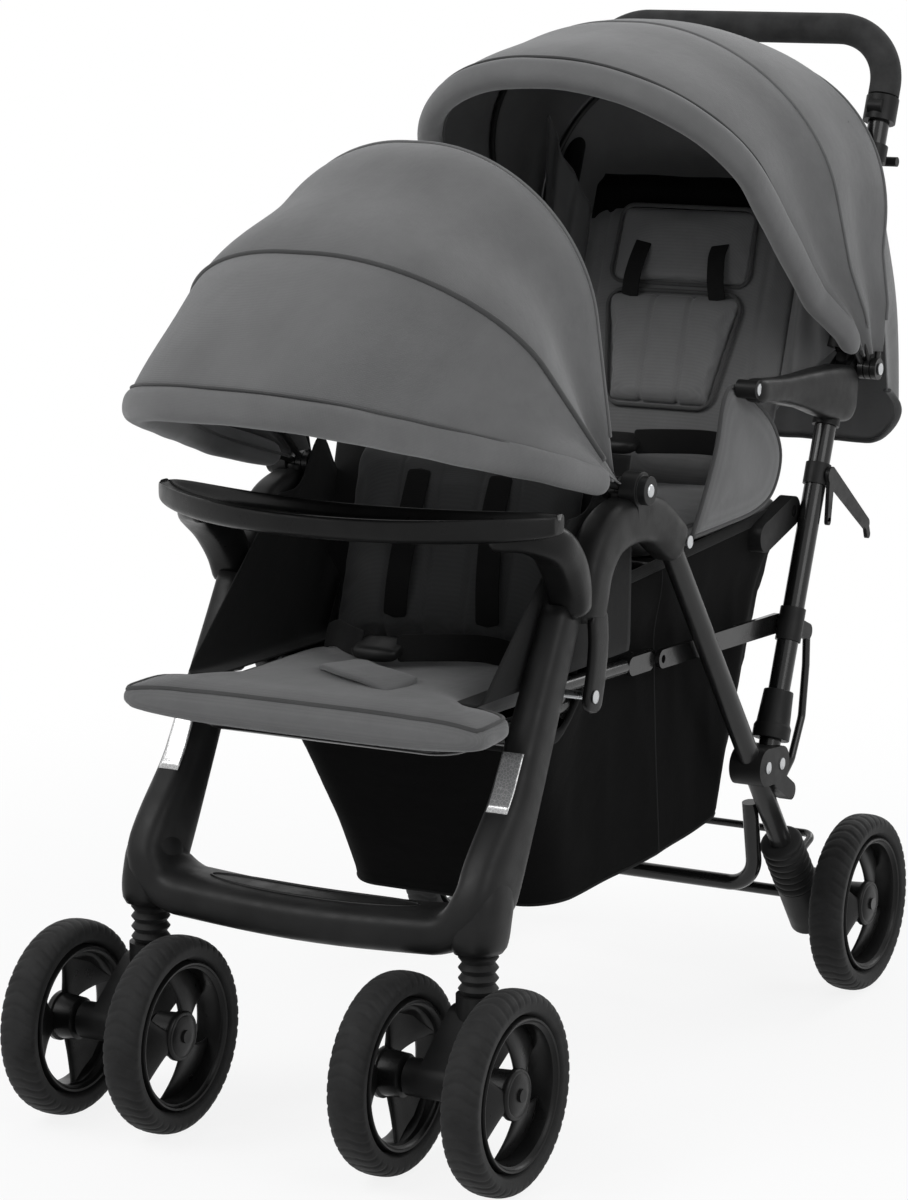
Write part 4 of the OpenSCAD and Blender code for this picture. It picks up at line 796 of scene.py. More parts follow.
# %% Armrests
ARM_X, TIP_R, TIP_AT, ROOT_AT = 176, 12, (528, 626), (756, 598)
run = np.linspace(0, 1, 50)
tall = TIP_R + 17 * step_up(run, 0.2, 0.95)
wide = TIP_R + 7 * step_up(run, 0.3, 0.9)
size = rounded_ends(len(run), 0.07)
face = sized(superellipse(1, 1, 3.2, 36), wide * size, tall * size)
arm_y = TIP_AT[0] + (ROOT_AT[0] - TIP_AT[0]) * run
arm_z = TIP_AT[1] + (ROOT_AT[1] - TIP_AT[1]) * run**1.3
arms = join("armrest_fairings", [
    tube("arm", place(side * ARM_X, arm_y, arm_z), face, BLACK, cap=False) for side in SIDES
])
book(arms, "moulding", body_of("armrests"), "armrests")

# %% [markdown]
# ## Tray
# The tray is a shallow crescent with a thick rolled rim. Each station across the stroller has one
# closed profile: flat underneath, rolled at the front and the back, dished between. The ends close
# with a quarter round, and an arm runs from each end down to the front of the arch bracket.

# %% Tray
TRAY_HALF, TRAY_Z, TRAY_THICK, DISH = 206, 559, 14, 16
s = np.sin(np.linspace(-np.pi / 2, np.pi / 2, 81))
ends = np.sqrt(np.maximum(1 - np.abs(s) ** 9, 0))
front = -14 + 78 * np.abs(s) ** 2.1
back = 66 + 34 * np.abs(s) ** 1.6
middle_y, half_y = (front + back) / 2, (back - front) / 2 * (0.45 + 0.55 * ends)
rise = 4 * np.abs(s) ** 3
turn = np.linspace(0, 2 * np.pi, 56, endpoint=False)
out = np.sign(np.cos(turn)) * np.abs(np.cos(turn)) ** 0.5
top = np.sign(np.sin(turn)) * np.abs(np.sin(turn)) ** 0.55
dish = step_up(top, 0.2, 0.9) * step_up(1 - np.abs(out), 0.04, 0.3)
height = (TRAY_THICK * top)[None] * (0.6 + 0.4 * ends[:, None]) - DISH * dish[None] * ends[:, None]
points = place(
    (TRAY_HALF * s)[:, None],
    middle_y[:, None] + half_y[:, None] * out,
    TRAY_Z + rise[:, None] + height,
)
parts = [grid_piece("tray", capped(points), DARK, wrap_cols=True)]
arm = [(146, 60, 545), (170, 80, 547), (183, 106, 540), (182, 131, 521), (180, 148, 496)]
arm = curve_through(arm + [(179, 156, 466)], 48)
grow = np.linspace(0, 1, len(arm))[:, None, None]
face = superellipse(0.017, 0.015, 2.8, 32) * (1 + 0.2 * np.sin(np.pi * grow**1.5))
face = face * rounded_ends(len(arm), 0.06)[:, None, None] * (0.6 + 0.4 * step_up(grow, 0.02, 0.4))
parts += [tube("arm", place(*(arm * [side, 1, 1]).T), face, DARK) for side in SIDES]
book(join("tray_moulded", parts), "moulding", "tray", "tray")

# %% [markdown]
# ## Canopies
# A canopy is cloth pulled over three wire bows that turn about one pivot. Each bow is a wire bent
# round a few corners, and between two bows the cloth goes from one shape to the other while it
# sinks in a little. The sheet is drawn over the angle about the pivot and the way along the bow,
# and each point's share of the angle from the last bow to the front roll is worked out, but nothing uses it.


# %% Bow lines
def filleted(corners, radii, count):
    """Straight runs joined by arcs: each arc belongs to the circle of its radius that touches both
    runs, so it starts and ends radius times the tangent of half the turn away from the corner."""
    p, r = np.asarray(corners, float), np.asarray(radii, float)[:, None]
    back, ahead = p[:-2] - p[1:-1], p[2:] - p[1:-1]
    back /= np.linalg.norm(back, axis=1, keepdims=True)
    ahead /= np.linalg.norm(ahead, axis=1, keepdims=True)
    half = (np.pi - np.arccos((back * ahead).sum(1, keepdims=True))) / 2
    middle = (back + ahead) / np.linalg.norm(back + ahead, axis=1, keepdims=True) * r / np.cos(half)
    start, end = back * r * np.tan(half) - middle, ahead * r * np.tan(half) - middle
    k, turn = np.linspace(0, 1, 30)[None, :, None], 2 * half[:, None]
    arc = (np.sin((1 - k) * turn) * start[:, None] + np.sin(k * turn) * end[:, None]) / np.sin(turn)
    arc += (p[1:-1] + middle)[:, None]
    return even(np.vstack([p[:1], arc.reshape(-1, 2), p[-1:]]), count)


def outward(line):
    """Normals of a line in its plane, on the left-hand side of a path that runs over the top."""
    t = np.gradient(line, axis=-2)
    t /= np.linalg.norm(t, axis=-1, keepdims=True)
    return np.stack([t[..., 1], -t[..., 0]], -1)


def bow_line(bow, low, count=141):
    """(across, distance from the pivot) along a bow, from the left foot over the top."""
    _, corners, radii = bow
    kept = [k for k, c in enumerate(corners) if c[1] > low]
    half = np.array([(corners[kept[0]][0], low)] + [corners[k] for k in kept], float)
    bends = [radii[k] for k in kept]
    return filleted(np.vstack([half, half[::-1] * [-1, 1]]), bends + bends[::-1], count)


def on_canopy(pivot, angle, line):
    """Places at an angle forward of upright about a canopy's pivot, in degrees and millimetres."""
    a, rho = np.radians(angle), line[..., 1]
    return place(line[..., 0], pivot[0] - rho * np.sin(a), pivot[1] + rho * np.cos(a))


# Each bow is (angle, corners of its left half, radii of those corners)
FRONT_PIVOT, REAR_PIVOT = joint_side("front_canopy_fold"), joint_side("rear_canopy_fold")
FRONT_BOWS = [
    (75, [(175, 150), (87.5, 440)], [220, 95]),
    (50, [(168, 350)], [155]),
    (14, [(161, 316)], [152]),
]
REAR_BOWS = [
    (49, [(189.3, 66), (174, 118), (174, 470)], [30, 30, 168]),
    (26, [(196.3, 66), (189.3, 118), (189.3, 384)], [30, 30, 180]),
    (-9, [(203.3, 66), (193.3, 118), (193.3, 308)], [30, 30, 160]),
]


# %% Canopy sheets
def canopy(name, pivot, bows, low, slack, edge=13.3, lift=5.2, wave=1.0):
    """The cover over its bows. Between two bows: a straight mix of their lines, moved out by lift
    and in by slack times the squared sine of the way across. Its front edge is behind the roll."""
    lines = np.array([bow_line(b, low) for b in bows])
    angles = np.array([b[0] for b in bows], float)
    t = np.linspace(0, len(bows) - 1, 34 * (len(bows) - 1) + 1)
    k = np.minimum(t.astype(int), len(bows) - 2)
    f = (t - k)[:, None, None]
    line = lines[k] * (1 - f) + lines[k + 1] * f
    s = np.linspace(-1, 1, line.shape[1])
    ripple = wave * np.sin(9 * s + 2.3 * t[:, None])[..., None] * np.sin(np.pi * f)
    sink = np.array(slack)[k][:, None, None] * np.sin(np.pi * f) ** 2 + ripple
    line = line + outward(line) * (lift - sink)
    far = np.maximum(np.hypot(line[..., 1], 0.35 * line[..., 0]), 90)
    behind = np.degrees(np.arcsin(edge / far)) * np.clip(1 - t, 0, 1)[:, None]
    angle = np.interp(t, np.arange(len(bows)), angles)[:, None] - behind
    sheet = grid_piece(name, on_canopy(pivot, angle, line), GREY)
    # The inner wall takes the darker cloth: painted shade under the canopy.
    sheet.data.materials.append(PAINTED_CANOPY_SHADE)
    thicken(sheet, 0.0016).modifiers["wall"].material_offset = 1
    bake(sheet)
    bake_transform(sheet)
    co = coordinates(sheet.data) - place(0, *pivot)
    share = np.degrees(np.arctan2(-co[:, 1], co[:, 2])) - angles[-1]
    share = np.clip(share / (angles[0] - angles[-1]), 0, 1).astype(np.float32)
    return sheet


front_cover = canopy(
    "front_canopy", FRONT_PIVOT, FRONT_BOWS, 16, (3, 13)
)
rear_cover = canopy("rear_canopy", REAR_PIVOT, REAR_BOWS, 18, (6, 5))
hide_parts("front_canopy_cover")
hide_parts("rear_canopy_cover")
print("canopies:", len(front_cover.data.vertices), len(rear_cover.data.vertices), "vertices")


# %% Stuffed brims and piping
def padded_roll(name, pivot, bow, low, wide, thick, body, node):
    """The stuffed brim of a canopy: an oval carried along the front bow, thinner at the feet."""
    count, seam_behind, seam_lift, seam_r = 180, 15, 6.6, 1.4
    line = bow_line(bow, low, count)
    s = np.linspace(-1, 1, count)
    lumps = 1 + 0.03 * np.sin(31 * s) * np.cos(12.7 * s)
    size = rounded_ends(count, 0.02) * lumps * (0.7 + 0.3 * rounded_ends(count, 0.16))
    face = superellipse(wide, thick, 2.3, 32)[None] * size[:, None, None] / 1000
    a = math.radians(bow[0])
    ahead = (0, -math.cos(a), -math.sin(a))
    roll = tube(name, on_canopy(pivot, bow[0], line), face, GREY, ahead, cap=False)
    soft_piece(roll, body, node)
    behind = bow[0] - np.degrees(np.arcsin(seam_behind / np.maximum(np.hypot(*line.T), 90)))
    top = on_canopy(pivot, behind, line + outward(line) * seam_lift)
    inner = on_canopy(pivot, bow[0] - 0.6, line - outward(line) * (thick + 0.4))
    cords = [cord_along("seam", path, seam_r, PIPING, (0, 1, 0.3)) for path in (top, inner)]
    trim(join(name + "_seams", cords), body)


padded_roll("front_brim", FRONT_PIVOT, FRONT_BOWS[0], 36, 15, 12.5, "front_roll", "front_roll")
padded_roll("rear_brim", REAR_PIVOT, REAR_BOWS[0], 30, 15, 12, "rear_roll", "rear_roll")
PIPING_LOW, PIPING_LIFT = 50, 6.4
for name, pivot, bow, body, radius, mat in (
    ("front_mid_piping", FRONT_PIVOT, FRONT_BOWS[1], "front_mid", 2.8, PIPING),
    ("front_hem", FRONT_PIVOT, FRONT_BOWS[2], "front_frame", 1.8, GREY),
    ("rear_mid_piping", REAR_PIVOT, REAR_BOWS[1], "rear_mid", 1.8, GREY),
    ("rear_hem", REAR_PIVOT, REAR_BOWS[2], "chassis", 1.8, GREY),
):
    line = bow_line(bow, PIPING_LOW)
    path = on_canopy(pivot, bow[0], line + PIPING_LIFT * outward(line))
    trim(cord_along(name, path, radius, mat, (0, 1, 0.3)), body)

# %% Knob rivets
knob_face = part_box("canopy_knobs")[1].x * 1000
dome = np.array([(-1, 6), (0.6, 6), (1.3, 4.6), (1.6, 2.4), (1.7, 0)])
knob_rivets = join("knob_rivets", [
    spun("rivet", place(side * knob_face, *FRONT_PIVOT), dome * [side, 1], STEEL, 32)
    for side in SIDES
])
book(knob_rivets, "steel", body_of("canopy_knobs"))

# %% [markdown]
# ## Back curtain of the rear canopy
# Behind the rear bow one cloth falls below the hinge and wraps round both sides. Its top edge is
# the bow, its middle bellies backwards, and its hem hangs free in shallow gathers. Three curves
# across the stroller are joined by a curve through all three.


# %% Back curtain
def plan_u(half, corner, back, front, share):
    """(across, backward) along a U seen from above: flat behind, a quarter round, then forward."""
    flat, arc, leg = half - corner, corner * np.pi / 2, back - corner - front
    q = np.abs(share) * (flat + arc + leg)
    a = np.clip((q - flat) / corner, 0, np.pi / 2)
    across = np.minimum(q, flat) + corner * np.sin(a)
    forward = np.maximum(q - flat - arc, 0)
    return np.sign(share) * across, back - corner + corner * np.cos(a) - forward


CURTAIN_LOW, CURTAIN_ANGLE, CURTAIN_LIFT, CURTAIN_HALF = 44, -8.6, 3.4, 203
MIDDLE_Z, MIDDLE_DROP, HEM_Z, HEM_RISE = 770, 104, 532, 66
s = np.linspace(1, -1, 161)
line = bow_line(REAR_BOWS[2], CURTAIN_LOW, len(s))
top_line = on_canopy(REAR_PIVOT, CURTAIN_ANGLE, line + CURTAIN_LIFT * outward(line))
mid_x, mid_y = plan_u(CURTAIN_HALF, 60, 860, 786, s)
mid_line = place(mid_x, mid_y, MIDDLE_Z - MIDDLE_DROP * step_up(np.abs(s), 0.5, 1))
hem_x, hem_y = plan_u(CURTAIN_HALF, 62, 876, 798, s)
hem_line = place(hem_x, hem_y, HEM_Z + HEM_RISE * step_up(np.abs(s), 0.58, 1))
t = np.linspace(0, 1, 60)[:, None, None]
pull = 2 * mid_line - (top_line + hem_line) / 2
points = (1 - t) ** 2 * top_line + 2 * t * (1 - t) * pull + t**2 * hem_line
gather = 1.5 * np.sin(41 * s + 2.6 * np.sin(4.3 * s)) + 1.9 * np.sin(17 * s + 1 + np.sin(9 * s))
wide = np.clip(mid_x / 200, -1, 1)
away = np.stack([wide**3, 1 - np.abs(wide) ** 3, 0 * s], -1)
points = points + away * (gather[:, None] * step_up(t, 0.05, 0.7)) / 1000
curtain = cloth_piece("back_curtain", points, GREY)
hem = tube("curtain_hem", points[-1], superellipse(0.0022, 0.004, 2.4, 12), PIPING, (0, 0, 1))
book(curtain, "fabric", "chassis", "rear_flap")
trim(hem, "chassis")

# %% [markdown]
# ## Basket
# The shopping basket is one deep bag of black cloth under both seats. Its floor sags between the
# seams, its walls lean outwards, and its sides climb to the rear seat while its back end stays
# lower, to reach in. Rings of points grow from the middle of the floor to its edge and then climb the walls.


# %% Basket
RING_COUNT, FLOOR_ROWS, WALL_ROWS = 220, 24, 33
BASE_FRONT, BASE_BACK, BASE_HALF, BASE_CORNER = 240, 585, 130, 40
RIM_FRONT, RIM_BACK, RIM_HALF, RIM_CORNER = 160, 685, 137, 36
BASE_MIDDLE, BASE_Z, EDGE_Z, BASE_SLOPE = 405, 163, 167, 28
FRONT_RIM_Z, RIM_SLOPE, SIDE_RISE, BACK_RISE = 340, 30, 121, 82


def ring_plan(front, back, half, corner):
    """A rounded rectangle seen from above: four quarter rounds, and the straight runs between them,
    walked evenly by length."""
    turn = np.linspace(0, np.pi / 2, 12)
    signs = ((1, 1, 0), (-1, 1, 1), (-1, -1, 2), (1, -1, 3))
    arcs = [
        np.stack([
            sx * (half - corner) + corner * np.cos(turn + n * np.pi / 2),
            (back - corner if sy > 0 else front + corner) + corner * np.sin(turn + n * np.pi / 2),
        ], -1)
        for sx, sy, n in signs
    ]
    start = np.array([[half, front + corner]])
    return even(np.vstack([start, *arcs, start]), RING_COUNT + 1)[:-1].T


def drawn_in(y):
    """The share of its width that the floor loses towards its front."""
    return 0.17 * (1 - np.clip((y - 225) / 200, 0, 1))


rings = []
base = np.array([BASE_FRONT, BASE_BACK, BASE_HALF, BASE_CORNER])
rim = np.array([RIM_FRONT, RIM_BACK, RIM_HALF, RIM_CORNER])
base_x, base_y = ring_plan(*base)
base_x = base_x * (1 - drawn_in(base_y))
for k in np.linspace(0.02, 1, FLOOR_ROWS):
    x, y = base_x * k, BASE_MIDDLE + (base_y - BASE_MIDDLE) * k
    slope = BASE_SLOPE * np.clip((y - 225) / 360, 0, 1)
    ripple = 0.5 * np.sin(0.06 * y) * k
    rings.append(place(x, y, BASE_Z + (EDGE_Z - BASE_Z) * k**3 + slope + ripple))
for k in np.linspace(0, 1, WALL_ROWS + 1)[1:]:
    x, y = ring_plan(*(base + (rim - base) * k))
    x = x * (1 - (1 - k) * drawn_in(y))
    back = np.clip((y - RIM_FRONT) / (RIM_BACK - RIM_FRONT), 0, 1)
    side = step_up(np.abs(x), 112, 132) * step_up(y, 205, 330)
    crease = 1.4 * np.sin(0.045 * y + 3 * k) * np.sin(np.pi * k)
    crease += 1.2 * np.sin(0.11 * y - 5 * k) * k * (1 - k)
    reach = BACK_RISE * step_up(y, 600, 672)
    low = EDGE_Z + BASE_SLOPE * back
    high = FRONT_RIM_Z + RIM_SLOPE * back + np.maximum(SIDE_RISE * side, reach)
    x = x + np.sign(x) * 9.5 * side * step_up(k, 0.72, 0.95)
    rings.append(place(x - np.sign(x) * np.abs(crease), y, low + (high - low) * k**0.95))
points = np.array(rings)
basket = cloth_piece("basket_shell", points, LINING, 0.0022, wrap_cols=True)
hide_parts("basket")
walls = points[FLOOR_ROWS - 1 :]
seam_line, rim_line = (np.vstack([ring, ring[:1]]) for ring in (walls[0], walls[-1]))
rim_face, seam_face = superellipse(0.0028, 0.006, 2.6, 12), superellipse(0.002, 0.002, 2, 8)
binding = tube("basket_binding", rim_line, rim_face, WEB, (1, 1, 0.02), cap=False)
seam = tube("basket_seam", seam_line, seam_face, WEB, (0, 0, 1), cap=False)
near = [np.argmin(np.abs(base_y - 430) + 500 * (base_x * side < 0)) for side in SIDES]
wall_seams = join("basket_wall_seams", [
    cord_along("seam", walls[:, column], 1.6, WEB, (0, 1, 0)) for column in near
])
for piece in (basket, binding, seam, wall_seams):
    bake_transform(piece)

# %% [markdown]
# ## Side panels of the front seat
# Between the front seat and the arch brackets hangs a dark cloth gusset on each side, so that a
# child's hands stay off the folding links. Its near-black tone is partly the cloth's own colour and
# partly painted shade from the front canopy. It is tucked under the seat pad, and rises from there
# as a ruled sheet between a low and a high edge, with a soft belly.

# %% Side panels
PANEL_X, TUCK, PANEL_LOW, PANEL_TALL, EAR = 153.6, 30, 403, 143, 46
u, v = np.linspace(0, 1, 40)[:, None], np.linspace(0, 1, 24)[None]
low_y, high_y = 36 + 284 * u, 196 + 124 * u
rise = np.clip((v - 0.25) / 0.75, 0, 1)
y = low_y + (high_y - low_y) * rise
ear = EAR * np.exp(-(((u - 0.6) / 0.2) ** 2))
z = PANEL_LOW + (PANEL_TALL + ear) * rise
belly = 1.4 * np.sin(np.pi * u) * np.sin(np.pi * v) + 0.6 * np.sin(14 * u + 5 * v)
x = PANEL_X - TUCK * (1 - step_up(v, 0, 0.3)) - belly * step_up(v, 0.2, 0.4)
for side, side_name in ((1, "left"), (-1, "right")):
    # The gusset cloth's dark tone is partly painted shade.
    panel = cloth_piece("front_side_panel_" + side_name, place(side * x, y, z), GUSSET_AND_SHADE)
    trim(panel, "front_frame")

# %% [markdown]
# ## Stuffed seats and backs
# A seat pad is two cloth panels sewn round a sheet of foam. The panel is drawn as a rounded slab
# whose thickness falls to the piped seam at its edge, then a cloth simulation blows it up a
# little, so it wrinkles by itself. Quilt lines press thin channels into the back pads afterwards,
# because the even mesh of the simulation would lose them.


# %% Pad helpers
def slab_points(centre_line, half_width, half_thick, power=2.6, ends=0.09, count=56):
    """A closed pad: a rounded slab section along a middle line, in millimetres of the side view."""
    line = np.asarray(centre_line, float)
    rows = len(line)
    size = rounded_ends(rows, ends)
    wide = np.broadcast_to(half_width, rows) * (0.9 + 0.1 * size)
    profile = sized(superellipse(1, 1, power, count), wide, half_thick * size)
    return sweep(place(0, line[:, 0], line[:, 1]), profile, (1, 0, 0))


def seam_over(points, row, inset, lift):
    """A line on a pad's upper face: along one side, across a row near its front, along the other
    side, raised by lift in metres."""
    count = points.shape[1]
    a, b = int(count * (0.5 + inset)), int(count * (1 - inset))
    path = np.vstack([points[: row : -1, a], points[row, a : b + 1], points[row + 1 :, b]])
    return path + np.asarray(lift)


def stuffed(piece, voxel=0.006, limit=0.006):
    """Cloth simulation: even quads, a little air pressure, then every point keeps at most its
    limit of movement."""
    pressure, last_frame = 4, 20
    m = piece.modifiers.new("even", "REMESH")
    m.mode, m.voxel_size = "VOXEL", voxel
    bake(piece)
    before = coordinates(piece.data)
    sim = piece.modifiers.new("cloth", "CLOTH")
    sim.settings.use_pressure = True
    sim.settings.uniform_pressure_force = pressure
    sim.settings.quality = 5
    sim.settings.effector_weights.gravity = 0
    sim.point_cache.frame_start, sim.point_cache.frame_end = 1, last_frame
    for f in range(1, last_frame + 1):
        scene.frame_set(f)
    bake(piece)
    scene.frame_set(1)
    step = coordinates(piece.data) - before
    far = np.linalg.norm(step, axis=1, keepdims=True)
    step *= np.minimum(1, limit / np.maximum(far, 1e-9))
    piece.data.vertices.foreach_set("co", (before + step).ravel().astype(np.float32))
    piece.data.shade_smooth()
    return smooth_more(piece)


def laid_on(piece, path):
    """The path moved onto a finished pad: each of its places goes to the nearest one on the pad."""
    bake(piece)
    bpy.context.view_layer.update()
    return np.array([piece.closest_point_on_mesh(p)[1] for p in path.tolist()])


def press(piece, height_of):
    """Moves the points of a finished mesh along their normals by a height in millimetres."""
    bake(piece)
    mesh = piece.data
    co = coordinates(mesh)
    moved = co + coordinates(mesh, "normal") * height_of(co)[:, None] / 1000
    mesh.vertices.foreach_set("co", moved.ravel().astype(np.float32))
    mesh.shade_smooth()
    mesh.update()
    return piece


# %% Seat pads
PIPING_R = 2.2
FRONT_SEAT, REAR_SEAT = (-28, 218), (392, 680)
FRONT_SEAT_Z, REAR_SEAT_Z, LIP_HALF, SEAT_HALF, REAR_SEAT_HALF = 389, 491, 190, 130, 145
y = np.linspace(*FRONT_SEAT, 70)
half = LIP_HALF - (LIP_HALF - SEAT_HALF) * step_up(y, 24, 66)
drop = -2 * (1 - step_up(y, FRONT_SEAT[0], 60))
front_points = slab_points(np.stack([y, FRONT_SEAT_Z + drop], -1), half, 16, 4, 0.05)
y = np.linspace(*REAR_SEAT, 76)
rear_line = np.stack([y, REAR_SEAT_Z + 0 * y], -1)
rear_points = slab_points(rear_line, REAR_SEAT_HALF, 15, 3.4, 0.05)
for name, points, body in (
    ("front_seat", front_points, "front_frame"), ("rear_seat", rear_points, "chassis")
):
    cushion = grid_piece(name + "_cushion", points, PAD, wrap_cols=True)
    soft_piece(stuffed(cushion, limit=0.004), body, name + "_pad")
    seam = laid_on(cushion, even(seam_over(points[:-6], 2, 0.05, (0, 0, 0.004)), 200))
    trim(cord_along(name + "_piping", even(seam, 160), PIPING_R, PIPING, (0, 0.1, 1)), body)


# %% Back pads
def back_frame(hinge, lean):
    """Up and forward directions of a backrest in the side view."""
    a = math.radians(lean)
    up, out = np.array([math.sin(a), math.cos(a)]), np.array([-math.cos(a), math.sin(a)])
    return lambda h, o: np.asarray(hinge) + np.multiply.outer(h, up) + np.multiply.outer(o, out)


def quilted(piece, lines, depth, gauge=3.0):
    """Presses upright channels into a pad at the given distances from its middle."""
    def height(co):
        away = np.min(np.abs(co[:, :1] * 1000 - np.array(lines)[None]), axis=1)
        return -depth * np.exp(-((away / gauge) ** 2))
    return press(piece, height)


FRONT_HINGE, FRONT_LEAN, REAR_HINGE, REAR_LEAN = (236, 366), 15, (668, 488), 20
FRONT_BACK, REAR_BACK = back_frame(FRONT_HINGE, FRONT_LEAN), back_frame(REAR_HINGE, REAR_LEAN)


def back_slab(name, back, low, high, out, half_width, half_thick, mat, power=3.2):
    """A slab on a backrest, from a low to a high place along it, at a distance in front of it."""
    h = np.linspace(low, high, 60)
    points = slab_points(back(h, out + 0 * h), half_width, half_thick, power)
    return grid_piece(name, points, mat, wrap_cols=True)


# The front back pad takes the darkened cloth: painted shade from the canopy above.
front_back = back_slab("front_back_cushion", FRONT_BACK, 34, 228, 0, 127, 14, SHADED_BACK_PAD)
soft_piece(quilted(stuffed(front_back), (-64, -22, 22, 64), 2.6), "front_back", "front_back_pad")
u, v = np.linspace(-1, 1, 70)[:, None], np.linspace(0, 1, 40)[None]
side = FRONT_BACK(30 + 206 * v + 0 * u, -13 + 2 * np.sin(9 * u + 2 * v))
points = place((132 + 26 * step_up(v, 0.28, 0.5)) * u, side[..., 0], side[..., 1])
# Its near-black tone is partly the cloth's own and partly painted shade under the front canopy.
back_cloth = trim(cloth_piece("front_back_cloth", points, GUSSET_AND_SHADE), "front_back")
rear_back = back_slab("rear_back_cushion", REAR_BACK, 8, 318, 0, 129, 14, PAD)
soft_piece(quilted(stuffed(rear_back), (-96, 96), 2.2), "rear_back", "rear_back_pad")

# %% [markdown]
# ## Insert and headrest of the rear seat
# A smaller child sits on an insert: a piped trapezoid with two sewn channels, and a headrest pad
# above it. Both lie on the back pad. Their piping follows the outline, a rounded trapezoid given
# by its half width at each height.


# %% Insert and headrest
def outline_on(back, low, high, low_half, high_half, corner, out, count=150):
    """A rounded trapezoid round a pad on a backrest: straight runs with round corners."""
    half = [(0, low), (low_half, low), (high_half, high), (0, high)]
    line = filleted(half, [corner, corner], count)
    line = np.vstack([line, line[-2::-1] * [-1, 1]])
    side = back(line[:, 1], out + 0 * line[:, 1])
    return place(line[:, 0], side[:, 0], side[:, 1])


INSERT, HEADREST = (92, 214), (222, 304)  # from a low to a high place along the backrest
h = np.linspace(0, 1, 60)
insert = back_slab("rear_insert_pad", REAR_BACK, *INSERT, 19, 58 + 20 * h, 8, LIGHT, 3.6)
soft_piece(quilted(stuffed(insert, 0.004, 0.004), (-21, 21), 2.4, 2.4), "rear_back")
headrest = back_slab("rear_headrest_pad", REAR_BACK, *HEADREST, 17, 80 - 4 * h, 8, LIGHT, 3.6)
soft_piece(stuffed(headrest, 0.005, 0.004), "rear_back")
for name, args in (
    ("rear_insert_piping", (*INSERT, 59, 79, 18, 23)),
    ("rear_headrest_piping", (*HEADREST, 80, 77, 14, 21)),
):
    path = outline_on(REAR_BACK, *args)
    trim(cord_along(name, path, PIPING_R, PIPING, (0.2, 1, 0)), "rear_back")

# %% [markdown]
# ## Cloth beside and above the rear back pad
# A near-black strip over the back pad is painted shadow: it darkens the gap between the pad's top
# and the canopy, where shade falls. A gathered lining runs from the pad's sides to the canopy.
# The linings are built in place and hang on no body.

# %% Top strip and side linings
SHADOW_STRIP_HALF, LINING_IN, LINING_OUT = 118, 124, 172
u, v = np.linspace(-1, 1, 60)[:, None], np.linspace(0, 1, 14)[None]
side = REAR_BACK(290 + 52 * v + 0 * u, 11 - 13 * step_up(v, 0.65, 1) + 2 * np.sin(9 * u) * v)
# Painted shadow: a near-black sheet in the gap above the back pad, where shade falls.
painted_shadow_strip = cloth_piece("rear_painted_shadow_strip", place(SHADOW_STRIP_HALF * u, *np.moveaxis(side, -1, 0)), LINING)
trim(painted_shadow_strip, "rear_back")
u, v = np.linspace(0, 1, 50)[:, None], np.linspace(0, 1, 40)
inner = REAR_BACK(100 + 205 * v, 4 + 0 * v)
rho = 26 + 225 * v
outer = np.stack([REAR_PIVOT[0] + 0.03 * rho - 18, REAR_PIVOT[1] + rho], -1)
yz = inner + (outer - inner) * u[..., None]
fold = 5 * np.sin(2 * np.pi * (2.2 * u + 0.5 * v)) * np.sin(np.pi * u) - 9 * np.sin(np.pi * u)
middle = REAR_BACK(200, 0)
for side_name, sign in (("left", 1), ("right", -1)):
    x = sign * (LINING_IN + (LINING_OUT - LINING_IN) * u)
    points = place(x, yz[..., 0] + fold, yz[..., 1])
    lining = cloth_piece(f"rear_lining_{side_name}", points, GREY)
    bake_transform(lining)

# %% [markdown]
# ## Side wings
# A soft padded wing stands at each side of the rear seat, between the seat and the armrest. It is
# cut like a leaf: high at the back, with a long tip that points forward and down.

# %% Side wings
WING_X, WING_FAT = 157.2, 5.5
wing = np.array([
    (442, 494), (468, 530), (494, 574), (508, 616), (530, 630), (585, 606), (624, 578), (640, 546),
    (622, 514), (580, 500), (510, 496),
])
outline = curve_through(np.vstack([wing, wing[:1]]), 90)[:-1]
middle = outline.mean(0)
grow = np.linspace(0.03, 1, 14)
fat = np.sqrt(1 - grow**3)
k = np.concatenate([grow, grow[::-1]])[:, None]
x = WING_X + WING_FAT * np.concatenate([fat, -fat[::-1]])[:, None]
yz = middle + (outline - middle) * k[..., None]
wings = join("side_wing_pads", [
    grid_piece("wing", capped(place(side * x, yz[..., 0], yz[..., 1])), PAD, wrap_cols=True)
    for side in SIDES
])
soft_piece(smooth_more(wings), "chassis", "side_wings")
ring = np.vstack([outline, outline[:1]])
edges = join("side_wing_piping", [
    cord_along("edge", place(side * WING_X, *ring.T), PIPING_R, PIPING, (1, 0, 0)) for side in SIDES
])
trim(edges, "chassis")

# %% [markdown]
# ## Harnesses
# Each seat has webbing straps down the backrest and round the lap, a black buckle where the lap
# straps meet, and a padded tongue between the legs.


# %% Straps and buckles
WEB_THICK, LAP_WIDE = 1.6, 25


def strap(name, points, wide, thick, side_axis, mat, count=60, rounded=0.03):
    """Flat webbing along a smooth path through places in millimetres (across, behind, up)."""
    path = curve_through(points, count)
    size = rounded_ends(count, rounded)[:, None, None]
    face = superellipse(wide / 2, thick / 2, 4, 20)[None] * size / 1000
    return tube(name, place(*path.T), face, mat, side_axis, cap=False)


